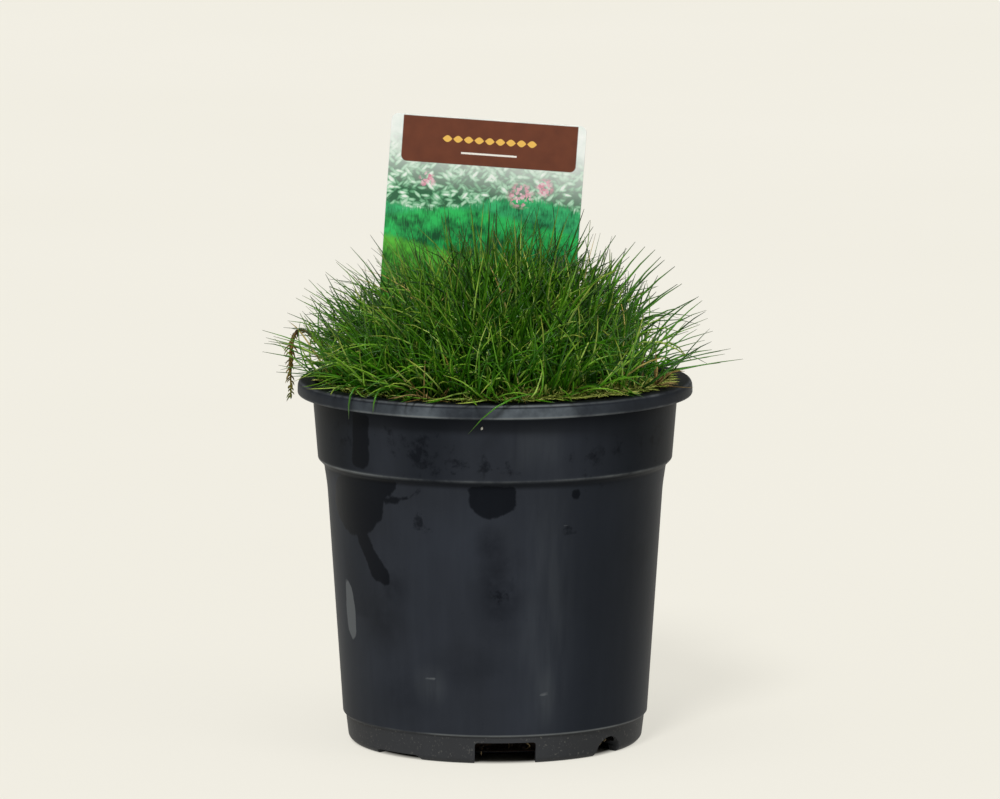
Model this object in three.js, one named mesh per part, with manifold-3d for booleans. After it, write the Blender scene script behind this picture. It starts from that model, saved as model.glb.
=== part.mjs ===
// Bearskin fescue, a needle-leaved mound grass, in a two-litre nursery pot with a picture label.
// Millimetres, +Z up. The origin is the middle of the pot's foot on the ground, and -Y is the front.
import * as THREE from "three";
import { mergeVertices } from "three/addons/utils/BufferGeometryUtils.js";
import Module from "manifold-3d";

const wasm = await Module();
wasm.setup();

const turn = THREE.MathUtils.degToRad;
const TAU = 2 * Math.PI;
const GOLDEN = turn(137.5); // from one leaf or crown of a spiral to the next

// Pot: injection-moulded polypropylene, 170 mm across the rim and 157 mm tall.
const POT_HEIGHT = 157;
const RIM_RADIUS = 85;
const RIM_BAND = 6.3; // height of the turned-down edge
const RIM_EDGE = 2.4; // its thickness
const FLANGE = 1.8; // thickness of the flat top of the rim
const COLLAR_RADIUS = 78.9; // outside, under the rim
const COLLAR_FOOT_RADIUS = 76.3; // outside, at the bottom of the collar
const SHOULDER_HEIGHT = 121; // where the collar steps in to the body
const BODY_TOP_RADIUS = 72.3;
const BODY_FOOT_RADIUS = 65.8;
const STEP_HEIGHT = 12.2; // where the body steps in to the foot band
const FOOT_RADIUS = 63.4;
const HEEL_RADIUS = 57.8; // inside of the ring that the pot stands on
const WALL = 1.5;
const FLOOR_LIFT = 3; // underside of the floor above the ground
const FLOOR_TOP = FLOOR_LIFT + 1.6;
const FACETS = 32; // round the pot and the soil

// Drain openings through the foot, at angles from the front, and again half a turn on.
const SLOT = { angle: 4, width: 26, height: 9.3, corner: 1.2 };
const ARCH = { angle: 50, width: 16, height: 8, corner: 7.9 };
const SCALLOP = { angle: -42, width: 25, height: 2.2, corner: 2 };
const DRAIN_INNER_RADIUS = 52;

// Soil: fills the pot to just under the rim, and is domed under the crown.
const GAP = 0.3; // between pieces that touch
const SOIL_EDGE_HEIGHT = 150.2;
const SOIL_DOME = 5.5;
const SOIL_BUMP = 0.7;
const SOIL_RINGS = [0.76, 0.42, 0]; // rings of its top, as shares of its edge
const HOLE_ABOVE = 20; // how far a hole's cutter stands out of the soil

// Grass mound: a plug of many small tufts, each with its own crown in the soil.
const TUFTS = 24;
const TUFTS_APART = 25;
const TUFT_FROM_LABEL = 10;
const TUFT_SPREAD = 16; // of its leaves at the soil, from its middle
const SPREADS_APART = 1.1; // half the gap between two tufts' spreads
const EDGE_SPREAD = 8; // of the outermost tufts, past their own crowns
const FACING = 0.05; // least cosine of a direction that counts as facing a neighbour
const SEEDING = { rounds: 60, step: 0.25 }; // how the crowns are pushed apart
const LEAVES_PER_TUFT = 26;
const MOUND_RADIUS = 62; // circle of the outermost crowns
const LEAF_LENGTH = 76; // in the middle
const EDGE_LENGTH = 40;
const LENGTH_FALL = 1.3; // power by which leaves get shorter towards the edge
const LENGTH_SHARES = [0.7, 1.06]; // shortest and longest, against the full length at that place
const EDGE_LEAN = turn(46); // of a leaf at the edge, from upright
const LEAN_RISE = 1.2; // power by which leaves lean more towards the edge
const EDGE_BEND = turn(21) / 38; // its curve outwards, per millimetre
const FURTHEST_LENGTH = 62; // one leaf of each outer tuft, straight out
const LEAF_RADIUS = 0.72; // of the three corners of a leaf's section
const LEAF_ROOT = { high: 0.6, out: 0.66 }; // where leaves leave the foot, as shares of it
const LEAF_FAN = 0.7; // share of the foot that leaves start fanning out from
const LEAF_BOW = 0.52; // share of the length where a leaf's line bends
const LEAF_STRAY = 6; // sideways at its tip
const LEAVES_APART = 1.5; // between leaves of one tuft, past their first runs
const CLEAR = { wall: 2, rim: 2.5, ground: 1.4, label: 1.8 }; // of a leaf's line
const CROWN = { radius: 4.6, depth: 16, sides: 6 }; // where a tuft stands in the soil
const STOOL = { foot: 1.2, lift: 7, width: 0.64 }; // dense foot, flat on top, that the leaves rise from
const FREE_REACH = 88; // leaves are free up to here from the pot's axis
const REACH = 105; // and none gets past here
const OUTER = 0.8; // tufts past this share of the mound have a furthest leaf
const FLOPPED_FROM = 0.9; // and past this share, one leaf flopped over the rim
const FLOPPED_ANGLE = [0.1, 0.25]; // of its way to the rim, round from straight out
const FLOPPED_WAY = [
  [-5, 10],
  [6, 3],
  [9.5, -15],
]; // out from the rim's edge and up from its top
const FLOPPED_DRAW = 4; // its tip up or down
const TRIES = 12; // draws for a leaf before it is left out

// Dry leaves: small spent tufts just inside the rim, at angles from +X.
const DRY_TUFTS = [-114, -20, 147];
const DRY_TUFT_RADIUS = 70;
const DRY_LEAVES = 6;
const DRY_CROWN = { radius: 2, depth: 9, lift: 3, sides: 6 };
const DRY_FAN = turn(230); // round the outward side
const DRY_LENGTH = [17, 33];
const DRY_RISE = [4, 11];
const DRY_APART = 1.2;

// Dried seed stalk, lying over the rim at the left and hanging down outside it.
const STALK = [
  [-66.8, 5.3, 158],
  [-71.5, 6, 166],
  [-78.5, 7, 174],
  [-84.4, 8, 177],
  [-87.4, 8.5, 171],
  [-88.2, 8.5, 159],
  [-88, 8, 147.5],
];
const STALK_RADIUS = 0.8;
const STALK_SIDES = 4;
const STALK_ROOM = 2; // radius left free for its bracts
const BRACT = { length: 3.6, radius: 0.75, apart: 3.1, from: 4, ahead: 0.8 };

// Picture label: a plastic card on a stake, pushed in at the back of the mound.
const LABEL = {
  width: 85,
  tall: 88, // full-width part
  taper: 20, // from there down to the stake
  stake: 46,
  stakeWidth: 16,
  thick: 0.8,
  corner: 3,
  top: 264.5, // height of the middle of its top edge
  x: -2.4,
  y: 42,
  roll: turn(4.1), // clockwise, seen from the front
  lean: turn(2), // backwards
  clear: 3, // of leaves
  beside: 8, // how far past its sides it still holds leaves back
};

// Seeded draws, the same on every run.
function drawsFrom(seed) {
  let state = seed;
  return () => {
    state = (state + 0x6d2b79f5) | 0;
    let t = Math.imul(state ^ (state >>> 15), 1 | state);
    t = (t + Math.imul(t ^ (t >>> 7), 61 | t)) ^ t;
    return ((t ^ (t >>> 14)) >>> 0) / 4294967296;
  };
}

// A closed three.js geometry as a manifold-3d solid.
function solidOf(geometry) {
  const bare = geometry.clone();
  bare.deleteAttribute("normal");
  bare.deleteAttribute("uv");
  const merged = mergeVertices(bare, 1e-4);
  const mesh = new wasm.Mesh({
    numProp: 3,
    vertProperties: merged.attributes.position.array,
    triVerts: new Uint32Array(merged.index.array),
  });
  return new wasm.Manifold(mesh);
}

function meshOf(name, solid, material) {
  const cut = solid.getMesh();
  const geometry = new THREE.BufferGeometry();
  geometry.setAttribute("position", new THREE.BufferAttribute(cut.vertProperties, 3));
  geometry.setIndex(new THREE.BufferAttribute(cut.triVerts, 1));
  geometry.computeVertexNormals();
  const mesh = new THREE.Mesh(geometry, material);
  mesh.name = name;
  return mesh;
}

// A profile of [radius, height] points, turned round the pot's axis.
function turned(profile) {
  const points = profile.map(([radius, height]) => new THREE.Vector2(radius, height));
  return new THREE.LatheGeometry(points, FACETS).rotateX(Math.PI / 2);
}

// Pot

function potProfile() {
  const rimFoot = POT_HEIGHT - RIM_BAND;
  const flangeFoot = POT_HEIGHT - FLANGE;
  return [
    [0, FLOOR_LIFT],
    [HEEL_RADIUS - 0.8, FLOOR_LIFT],
    [HEEL_RADIUS, 0],
    [FOOT_RADIUS - 1.8, 0],
    [FOOT_RADIUS, 1.8],
    [FOOT_RADIUS + 1.2, STEP_HEIGHT - 0.6],
    [BODY_FOOT_RADIUS, STEP_HEIGHT + 0.4],
    [BODY_TOP_RADIUS, SHOULDER_HEIGHT - 10],
    [BODY_TOP_RADIUS + 1.4, SHOULDER_HEIGHT - 0.6],
    [COLLAR_FOOT_RADIUS, SHOULDER_HEIGHT + 2],
    [COLLAR_RADIUS, flangeFoot],
    [RIM_RADIUS - RIM_EDGE, flangeFoot],
    [RIM_RADIUS - RIM_EDGE, rimFoot],
    [RIM_RADIUS - 0.5, rimFoot],
    [RIM_RADIUS, rimFoot + 0.6],
    [RIM_RADIUS, POT_HEIGHT - 1.2],
    [RIM_RADIUS - 0.9, POT_HEIGHT],
    [COLLAR_RADIUS - 0.8, POT_HEIGHT],
    [COLLAR_RADIUS - WALL, POT_HEIGHT - 0.9],
    ...insideOfPot(0).reverse(),
  ];
}

// The inside of the pot from the middle of the floor to the top of the collar, drawn in by a clearance.
function insideOfPot(clearance) {
  return [
    [0, FLOOR_TOP + clearance],
    [FOOT_RADIUS - 2.1 - clearance, FLOOR_TOP + clearance],
    [FOOT_RADIUS - 0.9 - clearance, FLOOR_TOP + 2.2 + clearance],
    [BODY_FOOT_RADIUS - WALL - clearance, STEP_HEIGHT],
    [BODY_TOP_RADIUS - WALL - clearance, SHOULDER_HEIGHT - 10],
    [BODY_TOP_RADIUS - 0.2 - clearance, SHOULDER_HEIGHT],
    [COLLAR_FOOT_RADIUS - WALL - clearance, SHOULDER_HEIGHT + 2.7],
    [COLLAR_RADIUS - WALL - 0.45 - clearance, SOIL_EDGE_HEIGHT],
  ];
}

// A cutter for one drain opening, with its upper corners rounded.
function drainCutter({ angle, width, height, corner }) {
  const half = width / 2;
  const shape = new THREE.Shape();
  shape.moveTo(-half, -1);
  shape.lineTo(half, -1);
  shape.lineTo(half, height - corner);
  shape.absarc(half - corner, height - corner, corner, 0, Math.PI / 2);
  shape.absarc(corner - half, height - corner, corner, Math.PI / 2, Math.PI);
  const depth = RIM_RADIUS - DRAIN_INNER_RADIUS;
  const cutter = new THREE.ExtrudeGeometry(shape, { depth, bevelEnabled: false, curveSegments: 3 });
  cutter.rotateX(Math.PI / 2).translate(0, -DRAIN_INNER_RADIUS, 0);
  return solidOf(cutter.rotateZ(turn(angle)));
}

function pot(material) {
  let solid = solidOf(turned(potProfile()));
  for (const kind of [SLOT, ARCH, SCALLOP]) {
    for (const half of [0, 180]) {
      const cutter = drainCutter({ ...kind, angle: kind.angle + half });
      solid = solid.subtract(cutter);
    }
  }
  return meshOf("pot", solid, material);
}

// Soil

function soilHeight(x, y) {
  const share = Math.min(1, Math.hypot(x, y) / COLLAR_FOOT_RADIUS);
  const bumps = Math.sin(x * 0.31 + 1) * Math.cos(y * 0.27) + Math.sin(x * 0.13 - y * 0.19);
  return SOIL_EDGE_HEIGHT + (1 - share ** 2) * SOIL_DOME + (1 - share ** 4) * SOIL_BUMP * bumps;
}

function soil(holes, material) {
  const side = insideOfPot(GAP);
  const edge = side[side.length - 1][0];
  const top = SOIL_RINGS.map((share) => [share * edge, POT_HEIGHT]);
  const ground = turned([...side, ...top]);
  const position = ground.attributes.position;
  for (let i = 0; i < position.count; i++) {
    if (position.getZ(i) === POT_HEIGHT)
      position.setZ(i, soilHeight(position.getX(i), position.getY(i)));
  }
  return meshOf("soil", solidOf(ground).subtract(wasm.Manifold.union(holes)), material);
}

// A hole for a crown, clear of it by the gap all round.
function crownHole(x, y, { radius, depth, sides }) {
  const down = depth + GAP;
  const hole = new THREE.CylinderGeometry(radius + GAP, radius + GAP, HOLE_ABOVE + down, sides);
  hole.rotateX(Math.PI / 2).translate(x, y, soilHeight(x, y) + (HOLE_ABOVE - down) / 2);
  return solidOf(hole);
}

// Picture label

function labelOutline(grow) {
  const { width, tall, taper, stake, stakeWidth, corner } = LABEL;
  const half = width / 2 + grow;
  const stem = stakeWidth / 2 + grow;
  const foot = -tall - taper;
  const shape = new THREE.Shape();
  shape.moveTo(-half, -tall);
  shape.lineTo(-half, -corner);
  shape.absarc(corner - half, -corner, corner, Math.PI, Math.PI / 2, true);
  shape.absarc(half - corner, -corner, corner, Math.PI / 2, 0, true);
  shape.lineTo(half, -tall);
  shape.lineTo(stem, foot);
  shape.lineTo(stem * 0.7, foot - stake * 0.8);
  shape.lineTo(0, foot - stake - 2 * grow);
  shape.lineTo(-stem * 0.7, foot - stake * 0.8);
  shape.lineTo(-stem, foot);
  return shape;
}

function labelPlate(grow) {
  const depth = LABEL.thick + 2 * grow;
  const plate = new THREE.ExtrudeGeometry(labelOutline(grow), {
    depth,
    bevelEnabled: false,
    curveSegments: 3,
  });
  plate.translate(0, 0, -depth / 2).rotateX(Math.PI / 2);
  plate.rotateX(-LABEL.lean).rotateY(LABEL.roll);
  return solidOf(plate.translate(LABEL.x, LABEL.y, LABEL.top));
}

// How far back the label's face is at a height.
function labelBack(z) {
  return LABEL.y + (z - LABEL.top) * Math.tan(LABEL.lean);
}

// True for leaves and crowns that would meet the label, and not pass beside it.
function meetsLabel(x) {
  return Math.abs(x - LABEL.x) < LABEL.width / 2 + LABEL.beside;
}

// Form of the mound

// How far leaves rooted at a radius lean out from upright.
function leanAt(root) {
  return EDGE_LEAN * (root / MOUND_RADIUS) ** LEAN_RISE;
}

// Where a leaf rooted at (u, v) has got to after s millimetres. Leaves keep their order, so none cross.
function stream(u, v, s) {
  const root = Math.hypot(u, v);
  const lean = leanAt(root);
  const bend = Math.max(1e-5, (EDGE_BEND * root) / MOUND_RADIUS);
  const out = (Math.cos(lean) - Math.cos(lean + bend * s)) / bend;
  const up = (Math.sin(lean + bend * s) - Math.sin(lean)) / bend;
  const scale = root > 0 ? drawnIn(root + out) / root : 1;
  return heldByLabel(new THREE.Vector3(u * scale, v * scale, soilHeight(u, v) + up), v);
}

// The furthest leaves end in an even edge round the plant.
function drawnIn(radius) {
  const room = REACH - FREE_REACH;
  const over = Math.max(0, radius - FREE_REACH);
  return Math.min(radius, FREE_REACH) + room * Math.tanh(over / room);
}

// Leaves rooted in front of the label are held upright by it, and the rest pass beside it.
function heldByLabel(point, rootY) {
  const limit = labelBack(point.z) - LABEL.clear;
  if (rootY >= limit || point.y <= rootY) return point;
  const room = limit - rootY;
  const held = rootY + room * (1 - Math.exp((rootY - point.y) / room));
  const half = LABEL.width / 2;
  const beside = THREE.MathUtils.smoothstep(Math.abs(point.x - LABEL.x), half + 3, half + 14);
  point.y = THREE.MathUtils.lerp(held, point.y, beside);
  return point;
}

function leafLength(u, v) {
  const share = Math.hypot(u, v) / MOUND_RADIUS;
  return LEAF_LENGTH - (LEAF_LENGTH - EDGE_LENGTH) * share ** LENGTH_FALL;
}

// Crowns on a sunflower spiral, then pushed apart from each other and away from the label's stake.
function tuftPlaces() {
  const places = [];
  for (let i = 0; i < TUFTS; i++) {
    const radius = MOUND_RADIUS * Math.sqrt((i + 0.5) / TUFTS);
    const angle = i * GOLDEN + turn(40);
    places.push(new THREE.Vector2(radius * Math.cos(angle), radius * Math.sin(angle)));
  }
  const foot = labelBack(POT_HEIGHT);
  for (let round = 0; round < SEEDING.rounds; round++) {
    for (const a of places) {
      for (const b of places) {
        const between = b.clone().sub(a);
        const far = between.length();
        if (a === b || far >= TUFTS_APART) continue;
        between.multiplyScalar(((TUFTS_APART - far) / far) * SEEDING.step);
        b.add(between);
        a.sub(between);
      }
      const side = Math.sign(a.y - foot) || 1;
      if (meetsLabel(a.x) && Math.abs(a.y - foot) < TUFT_FROM_LABEL)
        a.y = foot + side * TUFT_FROM_LABEL;
      a.clampLength(0, MOUND_RADIUS);
    }
  }
  return places;
}

const tuftRoots = tuftPlaces();

// How far a tuft spreads towards an angle before it meets the next tuft, the label or the edge.
function spreadOf(tuft, angle) {
  const towards = new THREE.Vector2(Math.cos(angle), Math.sin(angle));
  let spread = TUFT_SPREAD;
  for (const other of tuftRoots) {
    const between = other.clone().sub(tuft.root);
    const far = between.length();
    const facing = far > 0 ? between.dot(towards) / far : 0;
    if (facing > FACING) spread = Math.min(spread, (far / 2 - SPREADS_APART) / facing);
  }
  const toLabel = labelBack(POT_HEIGHT) - tuft.root.y;
  const facesLabel = Math.sign(toLabel) * towards.y;
  if (meetsLabel(tuft.root.x) && facesLabel > FACING)
    spread = Math.min(spread, (Math.abs(toLabel) - LABEL.clear - LEAF_RADIUS) / facesLabel);
  const edge = MOUND_RADIUS + EDGE_SPREAD;
  const across = tuft.root.dot(towards);
  const most = -across + Math.sqrt(across ** 2 + edge ** 2 - tuft.root.lengthSq());
  return Math.min(spread, most);
}

// Leaves and stalks

// Moves the rings of an upright three.js cone or cylinder, one unit apart, onto a list of points.
// place(ring, cosine, sine) gives a point on the ring, and a cap's middle has cosine and sine zero.
function reshaped(geometry, rings, place) {
  const position = geometry.attributes.position;
  for (let i = 0; i < position.count; i++) {
    const ring = Math.round(position.getY(i) + rings / 2);
    const x = position.getX(i);
    const z = position.getZ(i);
    const wide = Math.hypot(x, z);
    const tip = wide < 1e-6;
    const point = place(ring, tip ? 0 : x / wide, tip ? 0 : z / wide);
    position.setXYZ(i, point.x, point.y, point.z);
  }
  return solidOf(geometry);
}

// A needle along a line: three-sided, thickest at the root and drawn out to a point.
function needle(line, radius, sides = 3) {
  const rings = line.length - 1;
  const cross = sectionAxes(line);
  return reshaped(new THREE.ConeGeometry(1, rings, sides, rings), rings, (ring, cosine, sine) => {
    const wide = radius * (1 - 0.35 * (ring / rings) ** 2) * (ring < rings ? 1 : 0);
    const { across, up } = cross[ring];
    return line[ring]
      .clone()
      .addScaledVector(across, wide * cosine)
      .addScaledVector(up, wide * sine);
  });
}

// For each point of a line, two axes square to it that don't twist along the way. The first two
// points share theirs, so that the needle's first faces are flat.
function sectionAxes(line) {
  const last = line.length - 1;
  const side = new THREE.Vector3(-line[last].y, line[last].x, 0);
  if (side.length() < 1e-6) side.set(1, 0, 0);
  return line.map((point, i) => {
    const from = line[i < 2 ? 0 : i - 1];
    const to = line[i < 2 ? 1 : Math.min(last, i + 1)];
    const ahead = to.clone().sub(from).normalize();
    const across = side.clone().addScaledVector(ahead, -side.dot(ahead)).normalize();
    return { across, up: across.clone().cross(ahead) };
  });
}

// How far the edge of a tuft's foot, which has straight sides, lies from its middle at an angle.
function footEdge(tuft, angle) {
  const step = TAU / CROWN.sides;
  const first = -TAU / 4; // where a three.js cylinder's sides start
  const before = first + Math.floor((angle - first) / step + 1e-6) * step;
  const a = STOOL.width * spreadOf(tuft, before);
  const b = STOOL.width * spreadOf(tuft, before + step);
  const past = angle - before;
  return (a * b * Math.sin(step)) / (a * Math.sin(past) + b * Math.sin(step - past));
}

// A point of a tuft's foot: a share of the way up it, and out from its middle line at an angle.
function inFoot(tuft, high, angle, out) {
  const { x, y } = tuft.root;
  const over = stream(x, y, STOOL.lift / Math.cos(leanAt(tuft.root.length())));
  const z = soilHeight(x, y) + THREE.MathUtils.lerp(STOOL.foot, STOOL.lift, high);
  return new THREE.Vector3(
    THREE.MathUtils.lerp(x, over.x, high) + out * Math.cos(angle),
    THREE.MathUtils.lerp(y, over.y, high) + out * Math.sin(angle),
    z,
  );
}

// A tuft's crown, and the dense foot of its leaves.
function crown(tuft) {
  const body = new THREE.CylinderGeometry(1, 1, 2, CROWN.sides, 2);
  return reshaped(body, 2, (ring, cosine, sine) => {
    const angle = Math.atan2(-sine, cosine);
    const edge = ring < 2 ? CROWN.radius : footEdge(tuft, angle);
    const point = inFoot(tuft, ring < 2 ? 0 : 1, angle, cosine === 0 && sine === 0 ? 0 : edge);
    if (ring === 0) point.z = soilHeight(tuft.root.x, tuft.root.y) - CROWN.depth;
    return point;
  });
}

// The space that a tuft's foot takes, for other tufts' leaves to keep clear of.
function standingFoot(tuft) {
  const edges = [0, 60, 120, 180, 240, 300].map((angle) => footEdge(tuft, turn(angle)));
  const wide = Math.max(...edges);
  return { name: tuft.name, from: inFoot(tuft, 0, 0, 0), to: inFoot(tuft, 1, 0, 0), wide };
}

const named = (kind) => (root, i) => ({ name: `${kind}_${String(i + 1).padStart(2, "0")}`, root });
const tufts = tuftRoots.map(named("tuft"));
const crowns = tufts.map(standingFoot);

// Straight runs already taken, so that a new leaf can be kept clear of them.
const taken = [];

function take(owner, line, radius) {
  for (let i = 1; i < line.length; i++) taken.push({ owner, a: line[i - 1], b: line[i], radius });
}

function gapBetween(a, b, c, d) {
  const u = b.clone().sub(a);
  const v = d.clone().sub(c);
  const w = a.clone().sub(c);
  const uu = u.dot(u);
  const uv = u.dot(v);
  const vv = v.dot(v);
  const uw = u.dot(w);
  const vw = v.dot(w);
  const det = uu * vv - uv * uv;
  const clamp = (t) => Math.min(1, Math.max(0, t));
  let s = det > 1e-9 ? clamp((uv * vw - vv * uw) / det) : 0;
  const t = clamp((uv * s + vw) / vv);
  s = clamp((uv * t - uw) / uu);
  return w.addScaledVector(u, s).addScaledVector(v, -t).length();
}

// True if a line stays clear of every other owner's runs and crowns, and of its own owner's past
// its first run.
function isClear(owner, line, radius, ownGap) {
  for (let i = 1; i < line.length; i++) {
    for (const { name, from, to, wide } of crowns) {
      const least = wide + radius + 2 * GAP;
      if (name !== owner && gapBetween(line[i - 1], line[i], from, to) < least) return false;
    }
    for (const run of taken) {
      const own = run.owner === owner;
      if (own && i === 1) continue;
      const least = own ? ownGap : radius + run.radius + 2 * GAP;
      if (gapBetween(line[i - 1], line[i], run.a, run.b) < least) return false;
    }
  }
  return true;
}

// Points close together along a line.
function pointsAlong(line) {
  const points = [line[0]];
  for (let i = 1; i < line.length; i++) {
    for (const t of [0.2, 0.4, 0.6, 0.8, 1]) points.push(line[i - 1].clone().lerp(line[i], t));
  }
  return points;
}

// True if a line stays over the soil and clear of the pot's rim.
function isClearOfPot(line) {
  return pointsAlong(line).every((point) => {
    const radius = Math.hypot(point.x, point.y);
    const inside = radius < COLLAR_RADIUS - WALL - CLEAR.wall;
    const floor = inside ? soilHeight(point.x, point.y) : POT_HEIGHT;
    return radius > RIM_RADIUS + CLEAR.rim || point.z > floor + CLEAR.ground;
  });
}

// True if a line stays on its own side of the label's card, or passes beside it.
function isClearOfLabel(line) {
  const near = pointsAlong(line).filter(({ x }) => meetsLabel(x));
  const gaps = near.map(({ y, z }) => y - labelBack(z));
  return gaps.every((gap) => gap > CLEAR.label) || gaps.every((gap) => gap < -CLEAR.label);
}

// One leaf's line: from its place in the foot, fanning out to its own place in the mound.
function leafLine(tuft, angle, share, length, stray) {
  const { x, y } = tuft.root;
  const spread = spreadOf(tuft, angle);
  const edge = footEdge(tuft, angle);
  const at = (t) => {
    const out = share * THREE.MathUtils.lerp(spread, LEAF_FAN * edge, (1 - t) ** 2);
    return stream(x + out * Math.cos(angle), y + out * Math.sin(angle), t * length);
  };
  const root = inFoot(tuft, LEAF_ROOT.high, angle, LEAF_ROOT.out * share * edge);
  const bow = at(LEAF_BOW).addScaledVector(stray, LEAF_BOW ** 2);
  return [root, bow, at(1).add(stray)];
}

// A leaf that has flopped over the rim, out from its tuft.
function floppedLine(tuft, angle, drop) {
  const way = FLOPPED_WAY.map(([out, up]) => {
    const radius = RIM_RADIUS + out;
    return new THREE.Vector3(radius * Math.cos(angle), radius * Math.sin(angle), POT_HEIGHT + up);
  });
  way[way.length - 1].z -= drop;
  return [inFoot(tuft, LEAF_ROOT.high, angle, 2), ...way];
}

function tuftLeaves(tuft, draw) {
  const leaves = [];
  const grow = (line) => {
    if (!isClearOfPot(line) || !isClearOfLabel(line)) return false;
    if (!isClear(tuft.name, line, LEAF_RADIUS, LEAVES_APART)) return false;
    take(tuft.name, line, LEAF_RADIUS);
    leaves.push(needle(line, LEAF_RADIUS));
    return true;
  };
  const outwards = Math.atan2(tuft.root.y, tuft.root.x);
  const out = tuft.root.length() / MOUND_RADIUS;
  if (out > OUTER) grow(leafLine(tuft, outwards, 1, FURTHEST_LENGTH, new THREE.Vector3()));
  for (let attempt = 0; attempt < TRIES && out > FLOPPED_FROM; attempt++) {
    const angle = outwards + THREE.MathUtils.lerp(...FLOPPED_ANGLE, draw());
    if (grow(floppedLine(tuft, angle, FLOPPED_DRAW * (draw() - 0.5)))) break;
  }
  for (let i = 0; i < LEAVES_PER_TUFT; i++) {
    for (let attempt = 0; attempt < TRIES; attempt++) {
      const angle = i * GOLDEN + (draw() - 0.5) * 0.9;
      const share = Math.sqrt((i + 0.3 + 0.6 * draw()) / LEAVES_PER_TUFT);
      const { x, y } = tuft.root;
      const from = 0.5 * TUFT_SPREAD * share;
      const full = leafLength(x + from * Math.cos(angle), y + from * Math.sin(angle));
      const stray = new THREE.Vector3(draw() - 0.5, draw() - 0.5, 0).multiplyScalar(LEAF_STRAY);
      const length = full * THREE.MathUtils.lerp(...LENGTH_SHARES, draw());
      if (grow(leafLine(tuft, angle, share, length, stray))) break;
    }
  }
  return leaves;
}

function tuftMesh(tuft, draw, material) {
  const solid = wasm.Manifold.union([crown(tuft), ...tuftLeaves(tuft, draw)]);
  return meshOf(tuft.name, solid, material);
}

// Spent leaves from one small crown, lying low over the soil.
function dryTuft(tuft, draw, material) {
  const { x, y } = tuft.root;
  const { radius, depth, lift, sides } = DRY_CROWN;
  const ground = soilHeight(x, y);
  const foot = new THREE.CylinderGeometry(radius, radius, depth + lift, sides);
  foot.rotateX(Math.PI / 2).translate(x, y, ground + (lift - depth) / 2);
  const parts = [solidOf(foot)];
  const outwards = Math.atan2(y, x);
  for (let i = 0; i < DRY_LEAVES; i++) {
    for (let attempt = 0; attempt < TRIES; attempt++) {
      const angle = outwards + DRY_FAN * ((i + draw()) / DRY_LEAVES - 0.5);
      const length = THREE.MathUtils.lerp(...DRY_LENGTH, draw());
      const rise = THREE.MathUtils.lerp(...DRY_RISE, draw());
      const at = (share, z) =>
        new THREE.Vector3(
          x + share * length * Math.cos(angle),
          y + share * length * Math.sin(angle),
          ground + z,
        );
      const line = [at(0.02, 1.6), at(0.35, rise + 3), at(0.72, rise + 6.5), at(1, rise + 5)];
      if (!isClearOfPot(line.slice(1)) || !isClearOfLabel(line)) continue;
      if (!isClear(tuft.name, line, LEAF_RADIUS, DRY_APART)) continue;
      take(tuft.name, line, LEAF_RADIUS);
      parts.push(needle(line, LEAF_RADIUS));
      break;
    }
  }
  return meshOf(tuft.name, wasm.Manifold.union(parts), material);
}

// The dried stalk, with small bracts round its hanging end.
function seedStalk(material) {
  const line = STALK.map(([x, y, z]) => new THREE.Vector3(x, y, z));
  const foot = line[0].clone();
  foot.z = soilHeight(foot.x, foot.y) - DRY_CROWN.depth;
  line.unshift(foot);
  take("seed_stalk", line.slice(1), STALK_ROOM);
  const parts = [needle(line, STALK_RADIUS, STALK_SIDES)];
  const curve = new THREE.CatmullRomCurve3(line.slice(BRACT.from));
  const length = curve.getLength();
  for (let i = 0; i * BRACT.apart < length; i++) {
    const at = curve.getPointAt((i * BRACT.apart) / length);
    const ahead = curve.getTangentAt((i * BRACT.apart) / length);
    const angle = i * GOLDEN;
    const side = new THREE.Vector3(Math.cos(angle), Math.sin(angle), 0);
    side.addScaledVector(ahead, BRACT.ahead - side.dot(ahead)).normalize();
    parts.push(needle([at, at.clone().addScaledVector(side, BRACT.length)], BRACT.radius));
  }
  return meshOf("seed_stalk", wasm.Manifold.union(parts), material);
}

// Assembly

const plastic = new THREE.MeshStandardMaterial({ color: 0x26292e, roughness: 0.45, metalness: 0 });
const peat = new THREE.MeshStandardMaterial({ color: 0x2a1d14, roughness: 0.95, metalness: 0 });
const card = new THREE.MeshStandardMaterial({ color: 0x6fb08a, roughness: 0.35, metalness: 0 });
const grass = new THREE.MeshStandardMaterial({ color: 0x3f7a1e, roughness: 0.5, metalness: 0 });
const straw = new THREE.MeshStandardMaterial({ color: 0xa98a4e, roughness: 0.7, metalness: 0 });
const husk = new THREE.MeshStandardMaterial({ color: 0x5e4320, roughness: 0.8, metalness: 0 });

const draw = drawsFrom(3);
const onCircle = (angle) => new THREE.Vector2(Math.cos(angle), Math.sin(angle));
const dryRoots = DRY_TUFTS.map((angle) => onCircle(turn(angle)).multiplyScalar(DRY_TUFT_RADIUS));
const dryTufts = dryRoots.map(named("dry_leaves"));

const stalkHole = { radius: STALK_RADIUS, depth: DRY_CROWN.depth, sides: DRY_CROWN.sides };
const holes = [
  ...tuftRoots.map(({ x, y }) => crownHole(x, y, CROWN)),
  ...dryTufts.map(({ root }) => crownHole(root.x, root.y, DRY_CROWN)),
  crownHole(STALK[0][0], STALK[0][1], stalkHole),
  labelPlate(GAP),
];

const plant = new THREE.Group();
plant.add(pot(plastic));
plant.add(soil(holes, peat));
plant.add(meshOf("picture_label", labelPlate(0), card));
plant.add(seedStalk(husk));
for (const tuft of dryTufts) plant.add(dryTuft(tuft, draw, straw));
for (const tuft of tufts) plant.add(tuftMesh(tuft, draw, grass));

export default plant;
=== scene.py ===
import math

import bpy
import numpy as np
from mathutils import Matrix, Vector, noise


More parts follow.
